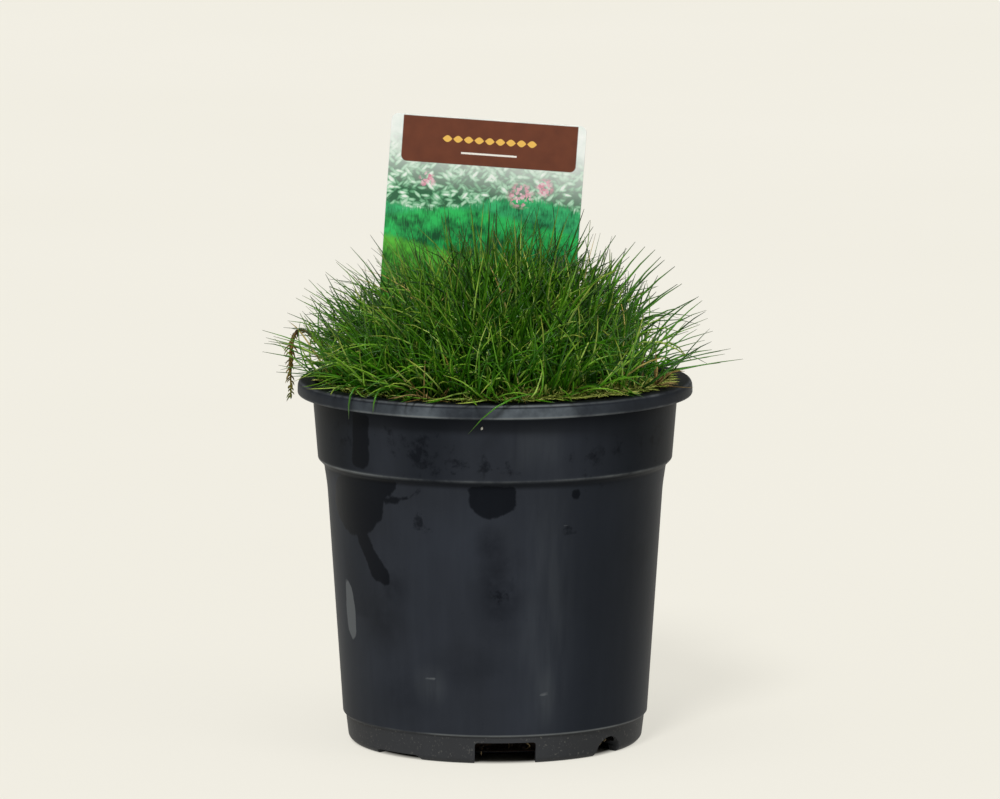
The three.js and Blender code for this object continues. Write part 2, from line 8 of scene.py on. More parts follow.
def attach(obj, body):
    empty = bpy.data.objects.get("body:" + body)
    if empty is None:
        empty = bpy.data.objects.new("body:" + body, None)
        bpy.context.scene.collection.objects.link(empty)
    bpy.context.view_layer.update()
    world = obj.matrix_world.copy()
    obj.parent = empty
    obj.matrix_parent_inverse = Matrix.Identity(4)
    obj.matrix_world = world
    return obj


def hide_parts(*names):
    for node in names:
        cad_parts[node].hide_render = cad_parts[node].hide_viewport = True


# A bearskin fescue in a two-litre nursery pot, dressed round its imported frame.
# Lengths are in millimetres until a mesh is made, and angles round the pot run from the front (-Y)
# towards +X.
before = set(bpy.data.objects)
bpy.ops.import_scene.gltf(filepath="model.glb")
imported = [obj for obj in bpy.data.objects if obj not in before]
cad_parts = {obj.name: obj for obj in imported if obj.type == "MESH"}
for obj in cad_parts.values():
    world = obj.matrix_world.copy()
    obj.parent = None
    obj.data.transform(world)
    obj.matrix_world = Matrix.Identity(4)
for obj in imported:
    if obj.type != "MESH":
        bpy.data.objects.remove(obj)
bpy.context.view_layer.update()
MM = 0.001


# The pot
# An injection-moulded nursery pot with a skirted rim, a stacking collar and a stepped foot. The mould
# is turned, so the wall is one lathe form, and the drain openings are cut through its foot. Handling
# has left a dusty bloom with darker places where it was wiped or wetted.

# Radius, height and the radius of the rounding at each corner, from under the floor to inside it.
POT_CORNERS = [
    (0, 3, 0), (57, 3, 0.3), (57.8, 0, 0.4), (61.6, 0, 0.9), (63.4, 1.8, 0.9), (64.6, 11.6, 0.35),
    (65.8, 12.6, 0.4), (72.3, 111, 3), (73.7, 120.4, 0.8), (76.3, 123, 0.6), (78.9, 155.2, 0.8),
    (82.6, 155.2, 0.8), (82.6, 150.7, 0.3), (84.5, 150.7, 0.3), (85, 151.3, 0.5), (84.9, 155.2, 1.6),
    (83.7, 157, 1.3), (78.1, 157, 0.7), (77.4, 156.1, 0.5), (76.95, 150.2, 0), (74.8, 123.7, 1),
    (72.1, 121, 1), (70.8, 111, 0), (64.3, 12.2, 1), (62.5, 6.8, 1), (61.3, 4.6, 1), (0, 4.6, 0),
]
# Sides of the lathe form, and the most that one row of its faces is high.
POT_SIDES, ROW = 240, 1.7
# Angle, width and height of the openings, with the rounding of their upper corners. Each is there
# again on the far side. The compost shows in the tall ones, which come first.
OPENINGS = [(angle + turn, width, height, corner)
            for angle, width, height, corner in ((4, 26, 9.3, 1.2), (50, 16, 8, 7.9), (-42, 25, 2.2, 2))
            for turn in (0, 180)]
TALL_OPENINGS = [opening[:3] for opening in OPENINGS[:4]]
OPENING_FROM, OPENING_TO = 52, 70
# Cosine and sine in eight steps of a quarter turn, for rounded corners.
QUARTER_TURN = [(math.cos(i / 8 * math.tau / 4), math.sin(i / 8 * math.tau / 4)) for i in range(9)]
# Outlines of wiped places, then of pale ones, as angle and height: the first pale one is a painted
# highlight, the rest are rubbed.
WIPED = [
    [(-66, 119.8), (-34.4, 121.6), (-35.2, 117.3), (-39.8, 113.8), (-41.9, 104.2), (-46.2, 100),
     (-50.8, 95.7), (-58, 94.8), (-67.8, 100), (-72.1, 106.5)],
    [(-57, 98), (-50.7, 98), (-46.2, 90), (-42.6, 84.5), (-39.6, 79), (-39.4, 75.6), (-42.6, 74.4),
     (-47.4, 77.6), (-50.4, 83.5), (-53.4, 90)],
    [(-41, 112.7), (-29.4, 115.4), (-24.8, 119.4), (-28.3, 114.1), (-35.8, 111.4), (-41, 110.8)],
    [(-9, 120.6), (7.1, 120.6), (7.5, 113.5), (6.6, 109.9), (3.2, 107.9), (-1.5, 107), (-5.6, 108),
     (-7.9, 109.8), (-8.9, 112.7)],
    [(-50.8, 149), (-43.2, 149), (-44.1, 127.3), (-46.1, 124.8), (-51.8, 125.4)],
    [(26.2, 117.3), (27.2, 118.7), (28.8, 118.4), (29.6, 116.9), (29.2, 115), (27.8, 114.2),
     (26.5, 115)],
    [(118, 121), (150, 121), (149, 112), (145, 105.5), (141, 98), (136, 93.6), (131.5, 92.8), (128, 97),
     (125, 104.5), (120.5, 110)],
    [(171.5, 150), (188.5, 150), (190.5, 141), (189, 132.5), (186, 126), (181.5, 123.6), (176.5, 125),
     (173.5, 131), (172.4, 140)],
    [(205, 120.6), (221, 120.6), (223.4, 115.5), (221, 109.5), (217, 105.2), (213, 104), (209, 107),
     (206, 112.6)],
    [(254.5, 88), (257, 92), (261, 92.5), (264, 88), (265.2, 78), (264, 66), (261.5, 57), (259.5, 54),
     (258.6, 60), (256, 72)],
]
RUBBED_AND_GLINTS = [
    [(-66, 75), (-61.5, 71), (-59.8, 62), (-60, 51), (-63, 47.8), (-66.4, 52), (-67.2, 63)],
    [(-26.6, 36.9), (-21.8, 37.1), (-21.8, 36.1), (-26.6, 35.9)],
    [(-25.4, 32.6), (-22.6, 32.7), (-22.8, 31.9), (-25.2, 31.8)],
    [(16.2, 30.8), (19.8, 31.3), (19.6, 29.9), (16.6, 29.6)],
    [(23.6, 103.9), (26.8, 102), (27.4, 101.2), (24, 102.9)],
    [(199.6, 65.6), (201.3, 65), (202.7, 62), (203.6, 56.5), (203.3, 50.5), (201.9, 46.4), (200.3, 46),
     (199.1, 49.5), (198.5, 55), (198.6, 61)],
    [(98, 33.4), (104, 33.8), (104, 32.9), (98, 32.5)],
]
# Soft marks as angle, height, half the width, half the height and strength: faint stains, smudges with
# broken edges, then dust, whose streaks right of the front are a painted reflection.
STAINS = [(-1, 95, 6, 8, 1), (2, 76, 9, 21, 1), (-38.5, 73, 6, 7, 1), (-44, 62, 9, 16, 0.6),
          (-36, 28, 12, 12, 0.5), (-8, 42, 16, 9, 0.45), (141, 60, 14, 22, 0.8), (238, 84, 12, 15, 0.8),
          (64, 92, 14, 22, 0.5)]
SMUDGES = [(-27, 105, 2.2, 5, 0.95), (-24, 99, 3, 4, 0.6), (26, 101, 3, 3.2, 0.85),
           (-24, 134, 11, 10, 0.62), (-21, 130, 6, 6, 0.7), (-12, 131, 6, 5, 0.62),
           (-3, 130, 2.4, 5, 0.85), (4, 128, 5, 4, 0.5), (-58, 138, 9, 12, 0.5), (-33, 141, 9, 7, 0.45),
           (36, 131, 14, 12, 0.45), (60, 137, 14, 13, 0.5), (84, 120, 6, 8, 0.45), (2, 74, 6, 10, 0.45),
           (200, 140, 12, 9, 0.6), (140, 136, 9, 9, 0.6)]
DUST_AND_SHEEN_MARKS = [(18.5, 31, 4, 15, 0.6), (12, 138, 8, 9, 0.3), (17.5, 137, 4, 9, 0.3), (-24, 34, 6, 8, 0.5),
         (18, 66, 9, 52, 0.3), (-86, 118, 5, 44, 0.3), (190, 40, 20, 16, 0.6), (150, 140, 14, 9, 0.6),
         (232, 96, 16, 20, 0.4)]
# The wall is darker over some spans: middle angle, half the span, lowest and highest place, strength.
DARKER_SPANS = [(46, 25, 0, 121.5, 0.62), (-58, 9, 60, 121.5, 0.3), (150, 30, 0, 121.5, 0.7),
              (-140, 26, 0, 121.5, 0.6), (-66, 20, 121.5, 150.6, 1), (62, 30, 121.5, 150.6, 1),
              (-22, 10, 121.5, 150.6, 0.5), (170, 40, 121.5, 150.6, 0.7)]
# How dusty the rim's band is, how strong a reflection is painted on it, and how far it has been rubbed,
# by angle.
RIM_DUST_AND_SHEEN = [(-180, 0.3), (-66, 0.08), (-50, 0.05), (-44, 0.4), (-30, 0.5), (-27, 0.95), (-20, 0.9),
            (-14, 0.35), (-2, 0.45), (4, 1), (20, 0.95), (25, 0.3), (40, 0.08), (58, 0.02), (80, 0.04),
            (88, 0.5), (110, 0.3), (180, 0.3)]
# How pale the edges are, by angle: rubbed wear and painted highlights together.
RUBBED_AND_GLINT_SHOULDER = [(-180, 0.5), (-80, 0.75), (-50, 1), (-36, 0.5), (-10, 0.42), (30, 0.42), (55, 0.5),
                   (90, 0.45), (180, 0.5)]
RUBBED_AND_GLINT_FOOT = [(-180, 0.5), (-80, 0.25), (-34, 0.3), (-18, 1), (44, 1), (70, 0.5), (180, 0.5)]
# Height, and the radius past which a point there is on the outside of the wall.
OUTSIDE_FROM = [(0, 56), (12, 64.4), (12.6, 65), (111, 71.5), (120.5, 72.8), (123, 75.1), (155, 78.2),
                (156, 80)]
# Heights that part the foot band, the lower wall, the collar and the rim's band.
FOOT_TOP, LOWER_WALL_TOP, COLLAR_TOP, RIM_FROM, RIM_TO = 12, 60, 149, 150.6, 155.5
# The wall's middle radius, for angles as lengths, and the depth at which an outline's edge is far off.
WALL_RADIUS, FAR_INSIDE = 74, 9
# How much shade is painted on the wall under its shoulder and rim, and which edges are rubbed pale or
# given painted highlights, by height.
RAMP_TOP = 160
SHADE_UNDER_LEDGES = [(119, 0), (120.8, 1), (122.4, 1), (122.7, 0), (143, 0), (149, 0.8), (150.5, 1), (150.7, 0)]
EDGES = [(12.1, 0), (12.6, 1), (13.1, 0), (122.3, 0), (123, 1), (123.8, 0), (150.8, 0), (151.2, 1),
         (151.9, 0), (155.6, 0), (156.3, 1), (156.8, 0)]
WIPED_BLACK = "05070C"
DUST_AND_SHEEN_GREY = "43474C"
WORN_AND_GLINT_GREY = "7C8184"


def linear(code):
    """The colour of an sRGB hex code, as the linear values that shader sockets take."""
    parts = [int(code[i:i + 2], 16) / 255 for i in (0, 2, 4)]
    return (*(c / 12.92 if c <= 0.04045 else ((c + 0.055) / 1.055) ** 2.4 for c in parts), 1.0)


def join(node, links):
    """Fills a node's sockets with values, hex colours, sockets or the results of other nodes."""
    for name, value in dict(links).items():
        if isinstance(value, str):
            value = linear(value)
        if isinstance(value, bpy.types.Node):
            value = next(socket for socket in value.outputs if socket.enabled)
        if isinstance(value, bpy.types.NodeSocket):
            node.id_data.links.new(value, node.inputs[name])
        else:
            node.inputs[name].default_value = value
    return node


def add(tree, kind, links=(), stops=(), **settings):
    """Adds a node with its own settings, its links and the stops of its ramp."""
    node = tree.nodes.new("ShaderNode" + kind)
    for name, value in settings.items():
        setattr(node, name, value)
    for place, (at, colour) in enumerate(stops):
        ramp = node.color_ramp.elements
        stop = ramp[place] if place < 2 else ramp.new(at)
        stop.position, stop.color = at, linear(colour) if isinstance(colour, str) else colour
    return join(node, links)


def new_material(name, **sockets):
    """A material with its tree and its Principled shader, whose even values are set on its sockets."""
    made = bpy.data.materials.new(name)
    made.use_nodes = True
    shader = made.node_tree.nodes["Principled BSDF"]
    for key, value in sockets.items():
        shader.inputs[key.replace("_", " ")].default_value = value
    return made, made.node_tree, shader


def rounded(corners, step):
    """Profile points with each corner drawn as an arc and long runs divided."""
    line = []
    for i, (r, z, fillet) in enumerate(corners):
        here = np.array((r, z), float)
        if fillet:
            before = np.array(corners[i - 1][:2], float) - here
            after = np.array(corners[i + 1][:2], float) - here
            a = here + before / np.linalg.norm(before) * min(fillet, np.linalg.norm(before) / 2)
            b = here + after / np.linalg.norm(after) * min(fillet, np.linalg.norm(after) / 2)
            arc = [a * (1 - t) ** 2 + here * 2 * t * (1 - t) + b * t * t
                   for t in (0, 0.25, 0.5, 0.75, 1)]
        else:
            arc = [here]
        if line:
            gap = np.linalg.norm(arc[0] - line[-1])
            pieces = max(1, round(gap / step))
            start = line[-1]
            line += [start + (arc[0] - start) * k / pieces for k in range(1, pieces)]
        line += arc
    return np.array(line)


def turned(profile, sides):
    """A lathe form closed at the axis: its points and faces."""
    turn = np.arange(sides) / sides * math.tau
    ring = np.stack([np.sin(turn), -np.cos(turn)], axis=1)
    inner = profile[1:-1]
    walls = np.concatenate([ring[None] * inner[:, None, :1],
                            np.broadcast_to(inner[:, None, 1:], (len(inner), sides, 1))], axis=2)
    points = np.concatenate([walls.reshape(-1, 3), [[0, 0, profile[0][1]], [0, 0, profile[-1][1]]]])
    here = np.arange(sides)
    after = (here + 1) % sides
    faces = []
    for row in range(len(inner) - 1):
        a, b = row * sides, (row + 1) * sides
        faces += np.stack([a + here, a + after, b + after, b + here], axis=1).tolist()
    low, high = len(points) - 2, len(points) - 1
    last = (len(inner) - 1) * sides
    faces += [[low, int(j), int(i)] for i, j in zip(here, after)]
    faces += [[high, last + int(i), last + int(j)] for i, j in zip(here, after)]
    return points, faces


def make_piece(name, points, faces, *materials, sharp=None):
    """A mesh object of that name from points in millimetres."""
    mesh = bpy.data.meshes.new(name)
    mesh.from_pydata(np.asarray(points) * MM, [], faces)
    for material in materials:
        mesh.materials.append(material)
    mesh.polygons.foreach_set("use_smooth", np.ones(len(mesh.polygons), bool))
    if sharp:
        mesh.set_sharp_from_angle(angle=math.radians(sharp))
    made = bpy.data.objects.new(name, mesh)
    bpy.context.scene.collection.objects.link(made)
    return made


def paint(piece, name, values):
    """Keeps one number for each point of a piece, for its material to read."""
    layer = piece.data.attributes.new(name, "FLOAT", "POINT")
    layer.data.foreach_set("value", np.asarray(values, np.float32))


def points_of(piece):
    """The points of a piece or node in millimetres."""
    flat = np.empty(len(piece.data.vertices) * 3, np.float32)
    piece.data.vertices.foreach_get("co", flat)
    return flat.reshape(-1, 3) / MM


def upper_corners(half, top, corner):
    """The two rounded upper corners of a flat outline, from left to right."""
    left = [(-half + corner * (1 - c), top - corner * (1 - s)) for c, s in QUARTER_TURN]
    return left + [(half - corner * (1 - s), top - corner * (1 - c)) for c, s in QUARTER_TURN]


def opening_cutter(angle, width, height, corner):
    """A block in the shape of one drain opening, laid along its radius."""
    half = width / 2
    outline = [(-half, -1), *upper_corners(half, height, min(corner, half, height)), (half, -1)]
    a = math.radians(angle)
    points = [(x * math.cos(a) + r * math.sin(a), x * math.sin(a) - r * math.cos(a), z)
              for r in (OPENING_FROM, OPENING_TO) for x, z in outline]
    n = len(outline)
    faces = [[n + i, n + (i + 1) % n, (i + 1) % n, i] for i in range(n)]
    faces += [list(range(n)), list(range(n, 2 * n))[::-1]]
    return points, faces


def outline_depth(angles, heights, outline):
    """How far inside a rounded outline each point of the wall lies, in millimetres along it."""
    mid = WALL_RADIUS * math.tau / 360
    ends = np.array([(angle * mid, z) for angle, z in outline])
    line = []
    for a, b in zip(ends, np.roll(ends, -1, axis=0)):
        pieces = math.ceil(np.linalg.norm(b - a) / 4)
        line += [a + (b - a) * k / pieces for k in range(pieces)]
    for _ in range(2):
        line = [a * (1 - t) + b * t for a, b in zip(line, line[1:] + line[:1]) for t in (0.25, 0.75)]
    middle = ends.mean(axis=0)
    x = ((angles * mid - middle[0] + 180 * mid) % (360 * mid)) - 180 * mid + middle[0]
    here = np.stack([x, heights], axis=1)
    near = (np.abs(here - middle) < np.abs(ends - middle).max(axis=0) + 3).all(axis=1)
    here = here[near]
    gap, inside = np.full(len(here), float(FAR_INSIDE)), np.zeros(len(here), bool)
    for a, b in zip(line, line[1:] + line[:1]):
        along = np.clip(((here - a) @ (b - a)) / ((b - a) @ (b - a)), 0, 1)
        gap = np.minimum(gap, np.linalg.norm(here - a - along[:, None] * (b - a), axis=1))
        level = (a[1] > here[:, 1]) != (b[1] > here[:, 1])
        with np.errstate(divide="ignore", invalid="ignore"):
            cross = a[0] + (here[:, 1] - a[1]) / (b[1] - a[1]) * (b[0] - a[0])
        inside ^= level & (here[:, 0] < cross)
    found = np.full(len(angles), float(-FAR_INSIDE))
    found[near] = np.where(inside, gap, -gap)
    return found


def soft_marks(angles, heights, marks):
    """The strongest of some soft oval marks at each point of the wall."""
    found = np.zeros(len(angles))
    for angle, height, wide, high, strength in marks:
        off = (angles - angle + 180) % 360 - 180
        away = np.hypot(off / wide, (heights - height) / high)
        found = np.maximum(found, strength * np.clip(1.35 - away, 0, 1))
    return found


profile = rounded(POT_CORNERS, ROW)
pot_points, pot_faces = turned(profile, POT_SIDES)
pot = make_piece("moulded_pot", pot_points, pot_faces)
cut_points, cut_faces = [], []
for opening in OPENINGS:
    block, sides = opening_cutter(*opening)
    cut_faces += [[len(cut_points) + i for i in side] for side in sides]
    cut_points += block
cutter = make_piece("opening_cutter", cut_points, cut_faces)
cut = pot.modifiers.new("openings", "BOOLEAN")
cut.object, cut.operation, cut.solver = cutter, "DIFFERENCE", "EXACT"
bpy.context.view_layer.update()
shaped = bpy.data.meshes.new_from_object(pot.evaluated_get(bpy.context.evaluated_depsgraph_get()))
pot.modifiers.clear()
pot.data = shaped
bpy.data.objects.remove(cutter)
pot.data.set_sharp_from_angle(angle=math.radians(40))
places = points_of(pot)
angles = np.degrees(np.arctan2(places[:, 0], -places[:, 1]))
heights = places[:, 2]
outside = np.hypot(places[:, 0], places[:, 1]) > np.interp(heights, *zip(*OUTSIDE_FROM))
# The raised floor and the rest inside the foot, under its top, are laid over with the wiped places'
# near black.
for name, outlines, under in (("wiped_depth", WIPED, FAR_INSIDE),
                              ("rubbed_depth", RUBBED_AND_GLINTS, -FAR_INSIDE)):
    deep = np.max([outline_depth(angles, heights, outline) for outline in outlines], axis=0)
    hidden = np.where(heights < FOOT_TOP, under, -FAR_INSIDE)
    paint(pot, name, np.where(outside, np.clip(deep, -FAR_INSIDE, FAR_INSIDE), hidden))
for name, marks in (("stained", STAINS), ("smudged", SMUDGES), ("dusted", DUST_AND_SHEEN_MARKS)):
    paint(pot, name, soft_marks(angles, heights, marks) * outside)
spans = [strength * np.clip(1.4 - np.abs((angles - middle + 180) % 360 - 180) / half, 0, 1)
         * ((heights > lowest) & (heights <= highest))
         for middle, half, lowest, highest, strength in DARKER_SPANS]
paint(pot, "darker_spans", np.max(spans, axis=0))
rim_dust_and_sheen = np.interp(angles, *zip(*RIM_DUST_AND_SHEEN))
paint(pot, "rim_dust_and_sheen", rim_dust_and_sheen * (heights > RIM_FROM) * (heights < RIM_TO))
paint(pot, "foot_dust", np.clip((13 - heights) / 1.5, 0, 1) * outside)
worn_and_glint = np.where(heights < LOWER_WALL_TOP, np.interp(angles, *zip(*RUBBED_AND_GLINT_FOOT)),
                np.interp(angles, *zip(*RUBBED_AND_GLINT_SHOULDER)))
paint(pot, "worn_and_glint_edge", np.where(heights > COLLAR_TOP, 0.35 + 0.65 * rim_dust_and_sheen, worn_and_glint) * outside)

# Polypropylene coloured with carbon black, from a spark-eroded mould: a satin skin, here under a thin
# bloom of dust. It reads as blue-grey charcoal, and as near black where a hand or water took the dust.
pot_plastic, tree, shader = new_material("moulded black polypropylene", IOR=1.49,
                                         Specular_IOR_Level=0.04, Specular_Tint=(0.5, 0.55, 0.64, 1))
where = add(tree, "TexCoord").outputs["Object"]
squeezed = add(tree, "Mapping", {"Vector": where, "Scale": (1, 1, 0.1)})
# Noises for the skin, by what they run along, grain, detail and roughness.
mottle, blots, cloudy, streaks, specks, fine = (
    add(tree, "TexNoise", {"Vector": run, "Scale": 1 / (grain * MM), "Detail": detail,
                           "Roughness": rough})
    for run, grain, detail, rough in (
        (where, 11, 5.0, 0.62), (where, 5, 6.0, 0.66), (where, 48, 3.0, 0.5), (squeezed, 4, 4.0, 0.5),
        (where, 1.3, 3.0, 0.6), (where, 0.7, 2.0, 0.5)))
tint = add(tree, "ValToRGB", {"Fac": cloudy},
           stops=[(0.3, "282B31"), (0.72, "2E323A")])
streaked = add(tree, "ValToRGB", {"Fac": streaks},
               stops=[(0.32, (0.92, 0.92, 0.93, 1)), (0.7, (1.07, 1.07, 1.07, 1))])
bloom = add(tree, "Mix", {0: 0.7, 6: tint, 7: streaked}, data_type="RGBA",
            blend_type="MULTIPLY")


def painted(*names):
    """The amounts that a piece's points keep under some names."""
    return [add(tree, "Attribute", attribute_name=name).outputs["Fac"] for name in names]


darker_here, dust_and_sheen, stain, smudge = painted("darker_spans", "dusted", "stained", "smudged")
wiped, rubbed_and_glint, rim_haze_and_sheen = painted("wiped_depth", "rubbed_depth", "rim_dust_and_sheen")
foot_haze, worn_and_glint_place = painted("foot_dust", "worn_and_glint_edge")


def broken(amount, noise, swing, low, high):
    """A painted amount whose edge is broken up by a noise, between two thresholds."""
    shifted = add(tree, "MapRange", {"Value": noise, "From Min": 0.25, "From Max": 0.75,
                                     "To Min": -swing, "To Max": swing})
    both = add(tree, "Math", {0: amount, 1: shifted}, operation="ADD")
    return add(tree, "MapRange", {"Value": both, "From Min": low, "From Max": high},
               interpolation_type="SMOOTHSTEP")


def patchy(amount, noise, low, high):
    """A painted amount that shows only where a noise is high, between two thresholds."""
    seen = add(tree, "MapRange", {"Value": noise, "From Min": low, "From Max": high})
    return add(tree, "Math", {0: amount, 1: seen}, operation="MULTIPLY")


def ragged(amount, noise, low, high):
    """A painted amount that breaks up into islands towards its edge."""
    lost = add(tree, "MapRange", {"Value": noise, "From Min": 0.32, "From Max": 0.68})
    left = add(tree, "Math", {0: amount, 1: lost}, operation="SUBTRACT")
    return add(tree, "MapRange", {"Value": left, "From Min": low, "From Max": high},
               interpolation_type="SMOOTHSTEP")


def laid_over(under, amount, code, share=1):
    """A colour laid over another where an amount says, at most by a share."""
    part = amount if share == 1 else add(tree, "Math", {0: amount, 1: share}, operation="MULTIPLY")
    return add(tree, "Mix", {0: part, 6: under, 7: code}, data_type="RGBA")


# The wall is made darker over the listed spans.
darkened_spans = laid_over(bloom, darker_here, "15191F")
# Dust, with a painted reflection in its streaks right of the front.
skin = laid_over(darkened_spans, patchy(dust_and_sheen, streaks, 0.25, 0.62), DUST_AND_SHEEN_GREY, 0.8)
skin = laid_over(skin, patchy(stain, mottle, 0.2, 0.6), WIPED_BLACK, 0.5)
skin = laid_over(skin, ragged(smudge, blots, -0.12, 0.45), WIPED_BLACK, 0.62)
wiped_here = broken(wiped, mottle, 1.4, -0.5, 0.5)
skin = laid_over(skin, wiped_here, WIPED_BLACK, 0.78)
# Pale rubbed places, and one painted highlight low on the left.
skin = laid_over(skin, broken(rubbed_and_glint, mottle, 0.5, -0.3, 0.5), "5D6165", 0.8)
height = add(tree, "SeparateXYZ", {0: where}).outputs[2]
share_up = add(tree, "Math", {0: height, 1: 1 / (RAMP_TOP * MM)}, operation="MULTIPLY")
painted_shade, lines = (
    add(tree, "ValToRGB", {"Fac": share_up}, stops=[(z / RAMP_TOP, (v, v, v, 1)) for z, v in levels])
    for levels in (SHADE_UNDER_LEDGES, EDGES))
# Painted shade under the shoulder and under the rim.
skin = laid_over(skin, painted_shade, WIPED_BLACK, 0.6)
# Painted shade darkens the whole rim.
rim_shade = add(tree, "MapRange", {"Value": height, "From Min": 150.4 * MM, "From Max": 150.8 * MM})
skin = laid_over(skin, rim_shade, "171A1F", 0.55)
# A painted reflection, partly dust, lightens the rim's band, most at its front.
skin = laid_over(skin, patchy(rim_haze_and_sheen, mottle, 0.2, 0.65), "646C73", 0.82)
skin = laid_over(skin, foot_haze, "434343", 0.45)
skin = laid_over(skin, patchy(foot_haze, specks, 0.6, 0.75), "6E6E6A", 0.5)
# Painted shade darkens the rim's upper face.
upper_face_shade = add(tree, "MapRange", {"Value": height, "From Min": 156.5 * MM, "From Max": 156.95 * MM})
skin = laid_over(skin, upper_face_shade, "0B0D10", 0.8)
# Painted highlights, with some rubbed wear, along the foot step, the shoulder and the rim's edges.
worn_and_glint_line = add(tree, "Math", {0: broken(worn_and_glint_place, mottle, 0.3, 0.1, 1.2), 1: lines},
                operation="MULTIPLY")
skin = laid_over(skin, worn_and_glint_line, WORN_AND_GLINT_GREY, 0.85)
sheen = add(tree, "MapRange", {"Value": wiped_here, "To Min": 0.46, "To Max": 0.34})
grain = add(tree, "Bump", {"Height": fine, "Strength": 0.15, "Distance": 0.05 * MM})
dented = add(tree, "Bump", {"Height": mottle, "Strength": 0.12, "Distance": 0.5 * MM, "Normal": grain})
join(shader, {"Base Color": skin, "Roughness": sheen, "Normal": dented})
pot.data.materials.append(pot_plastic)
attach(pot, "root")
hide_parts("pot")


# The compost
# Moist peat with bits of bark and old roots, settled into a low dome and level with the wall's inner
# step. Crumbs lie loose on it, and some hang in the drain openings.

# Height of the surface at the wall, rise of the dome, depth of its bumps, and where both end.
SOIL_EDGE, SOIL_DOME, SOIL_BUMP, SOIL_REACH = 150.2, 5.5, 0.7, 76.3
PEAT_CORNERS = [(0, 4.9, 0), (60.9, 4.9, 1), (62.2, 7, 1), (64, 12.4, 1), (70.5, 111, 0),
                (71.8, 121.2, 1), (74.5, 123.8, 1), (76.3, 149.4, 0.5), (75.6, 150.2, 0)]
PEAT_SIDES, TOP_RINGS, TOP_RADIUS = 180, 66, 75.2
# Radius of the foot, how far water has washed the peat back behind an opening, and over what height
# above it that ends.
FOOT_RADIUS, WASHED_BACK, WASHED_ABOVE = 62, 7, 4
CRUMBS, CRUMB_REACH, HANGING_EACH = 620, 74.5, 14
GRAIN_ANGLE, GRAIN_RADIUS, GRAIN_HEIGHT, GRAIN_SIZE = math.radians(-4), 78.5, 146.4, 0.8


def soil_height(x, y):
    """The height of the compost's surface, as in the frame."""
    share = np.minimum(1, np.hypot(x, y) / SOIL_REACH)
    bumps = np.sin(0.31 * x + 1) * np.cos(0.27 * y) + np.sin(0.13 * x - 0.19 * y)
    return SOIL_EDGE + (1 - share ** 2) * SOIL_DOME + (1 - share ** 4) * SOIL_BUMP * bumps


def rough_at(places, size, depth):
    """Seeded fractal roughness of a given grain at some places."""
    return np.array([noise.fractal(Vector(p) / size, 0.9, 2.1, 4) for p in places.tolist()]) * depth


def lumps(centres, sizes, rng):
    """Small irregular solids: twelve-point lumps, each squashed and turned its own way."""
    gold = (1 + math.sqrt(5)) / 2
    unit = np.array([(-1, gold, 0), (1, gold, 0), (-1, -gold, 0), (1, -gold, 0), (0, -1, gold),
                     (0, 1, gold), (0, -1, -gold), (0, 1, -gold), (gold, 0, -1), (gold, 0, 1),
                     (-gold, 0, -1), (-gold, 0, 1)]) / math.hypot(1, gold)
    sides = [(0, 11, 5), (0, 5, 1), (0, 1, 7), (0, 7, 10), (0, 10, 11), (1, 5, 9), (5, 11, 4),
             (11, 10, 2), (10, 7, 6), (7, 1, 8), (3, 9, 4), (3, 4, 2), (3, 2, 6), (3, 6, 8), (3, 8, 9),
             (4, 9, 5), (2, 4, 11), (6, 2, 10), (8, 6, 7), (9, 8, 1)]
    count = len(centres)
    shape = unit[None] * rng.uniform(0.7, 1.25, (count, 12, 1)) * rng.uniform(0.5, 1.1, (count, 1, 3))
    turn = rng.uniform(0, math.tau, count)
    c, s = np.cos(turn)[:, None], np.sin(turn)[:, None]
    x, y, z = (shape[..., i] for i in range(3))
    turned_shape = np.stack([x * c - y * s, x * s + y * c, z], axis=2)
    points = centres[:, None] + turned_shape * sizes[:, None, None]
    faces = (np.arange(count)[:, None, None] * 12 + np.array(sides)[None]).reshape(-1, 3)
    return points.reshape(-1, 3), faces.tolist()


rng = np.random.default_rng(3)
peat_line = rounded(PEAT_CORNERS, 6)
rings = np.linspace(TOP_RADIUS, 0, TOP_RINGS)[:, None] * [1, 0]
peat_line = np.concatenate([peat_line, rings + [0, SOIL_EDGE]])
peat_points, peat_faces = turned(peat_line, PEAT_SIDES)
# The last two points are the lathe form's own, at the axis: the lower one isn't part of the top.
top = np.arange(len(peat_points)) >= (len(peat_line) - len(rings) - 1) * PEAT_SIDES
top[-2] = False
peat_points[top, 2] = soil_height(peat_points[top, 0], peat_points[top, 1])
peat_points[top, 2] += rough_at(peat_points[top], 3.5, 0.8) - 0.5
side = ~top & (peat_points[:, 2] > 5.2)
out = np.hypot(peat_points[:, 0], peat_points[:, 1])
worn_back = 0.6 * np.abs(rough_at(peat_points[side], 2.5, 1))
around = np.degrees(np.arctan2(peat_points[side, 0], -peat_points[side, 1]))
for angle, width, height in TALL_OPENINGS[::2]:
    off = np.abs((around - angle + 90) % 180 - 90) * FOOT_RADIUS * math.tau / 360
    beside = np.clip(1.15 - off / (width / 2), 0, 1) ** 0.4
    below = np.clip((height + WASHED_ABOVE - peat_points[side, 2]) / WASHED_ABOVE, 0, 1)
    worn_back += beside * below * (WASHED_BACK + rough_at(peat_points[side], 3, 2.4))
peat_points[side, :2] *= (1 - worn_back / np.maximum(out[side], 8))[:, None]

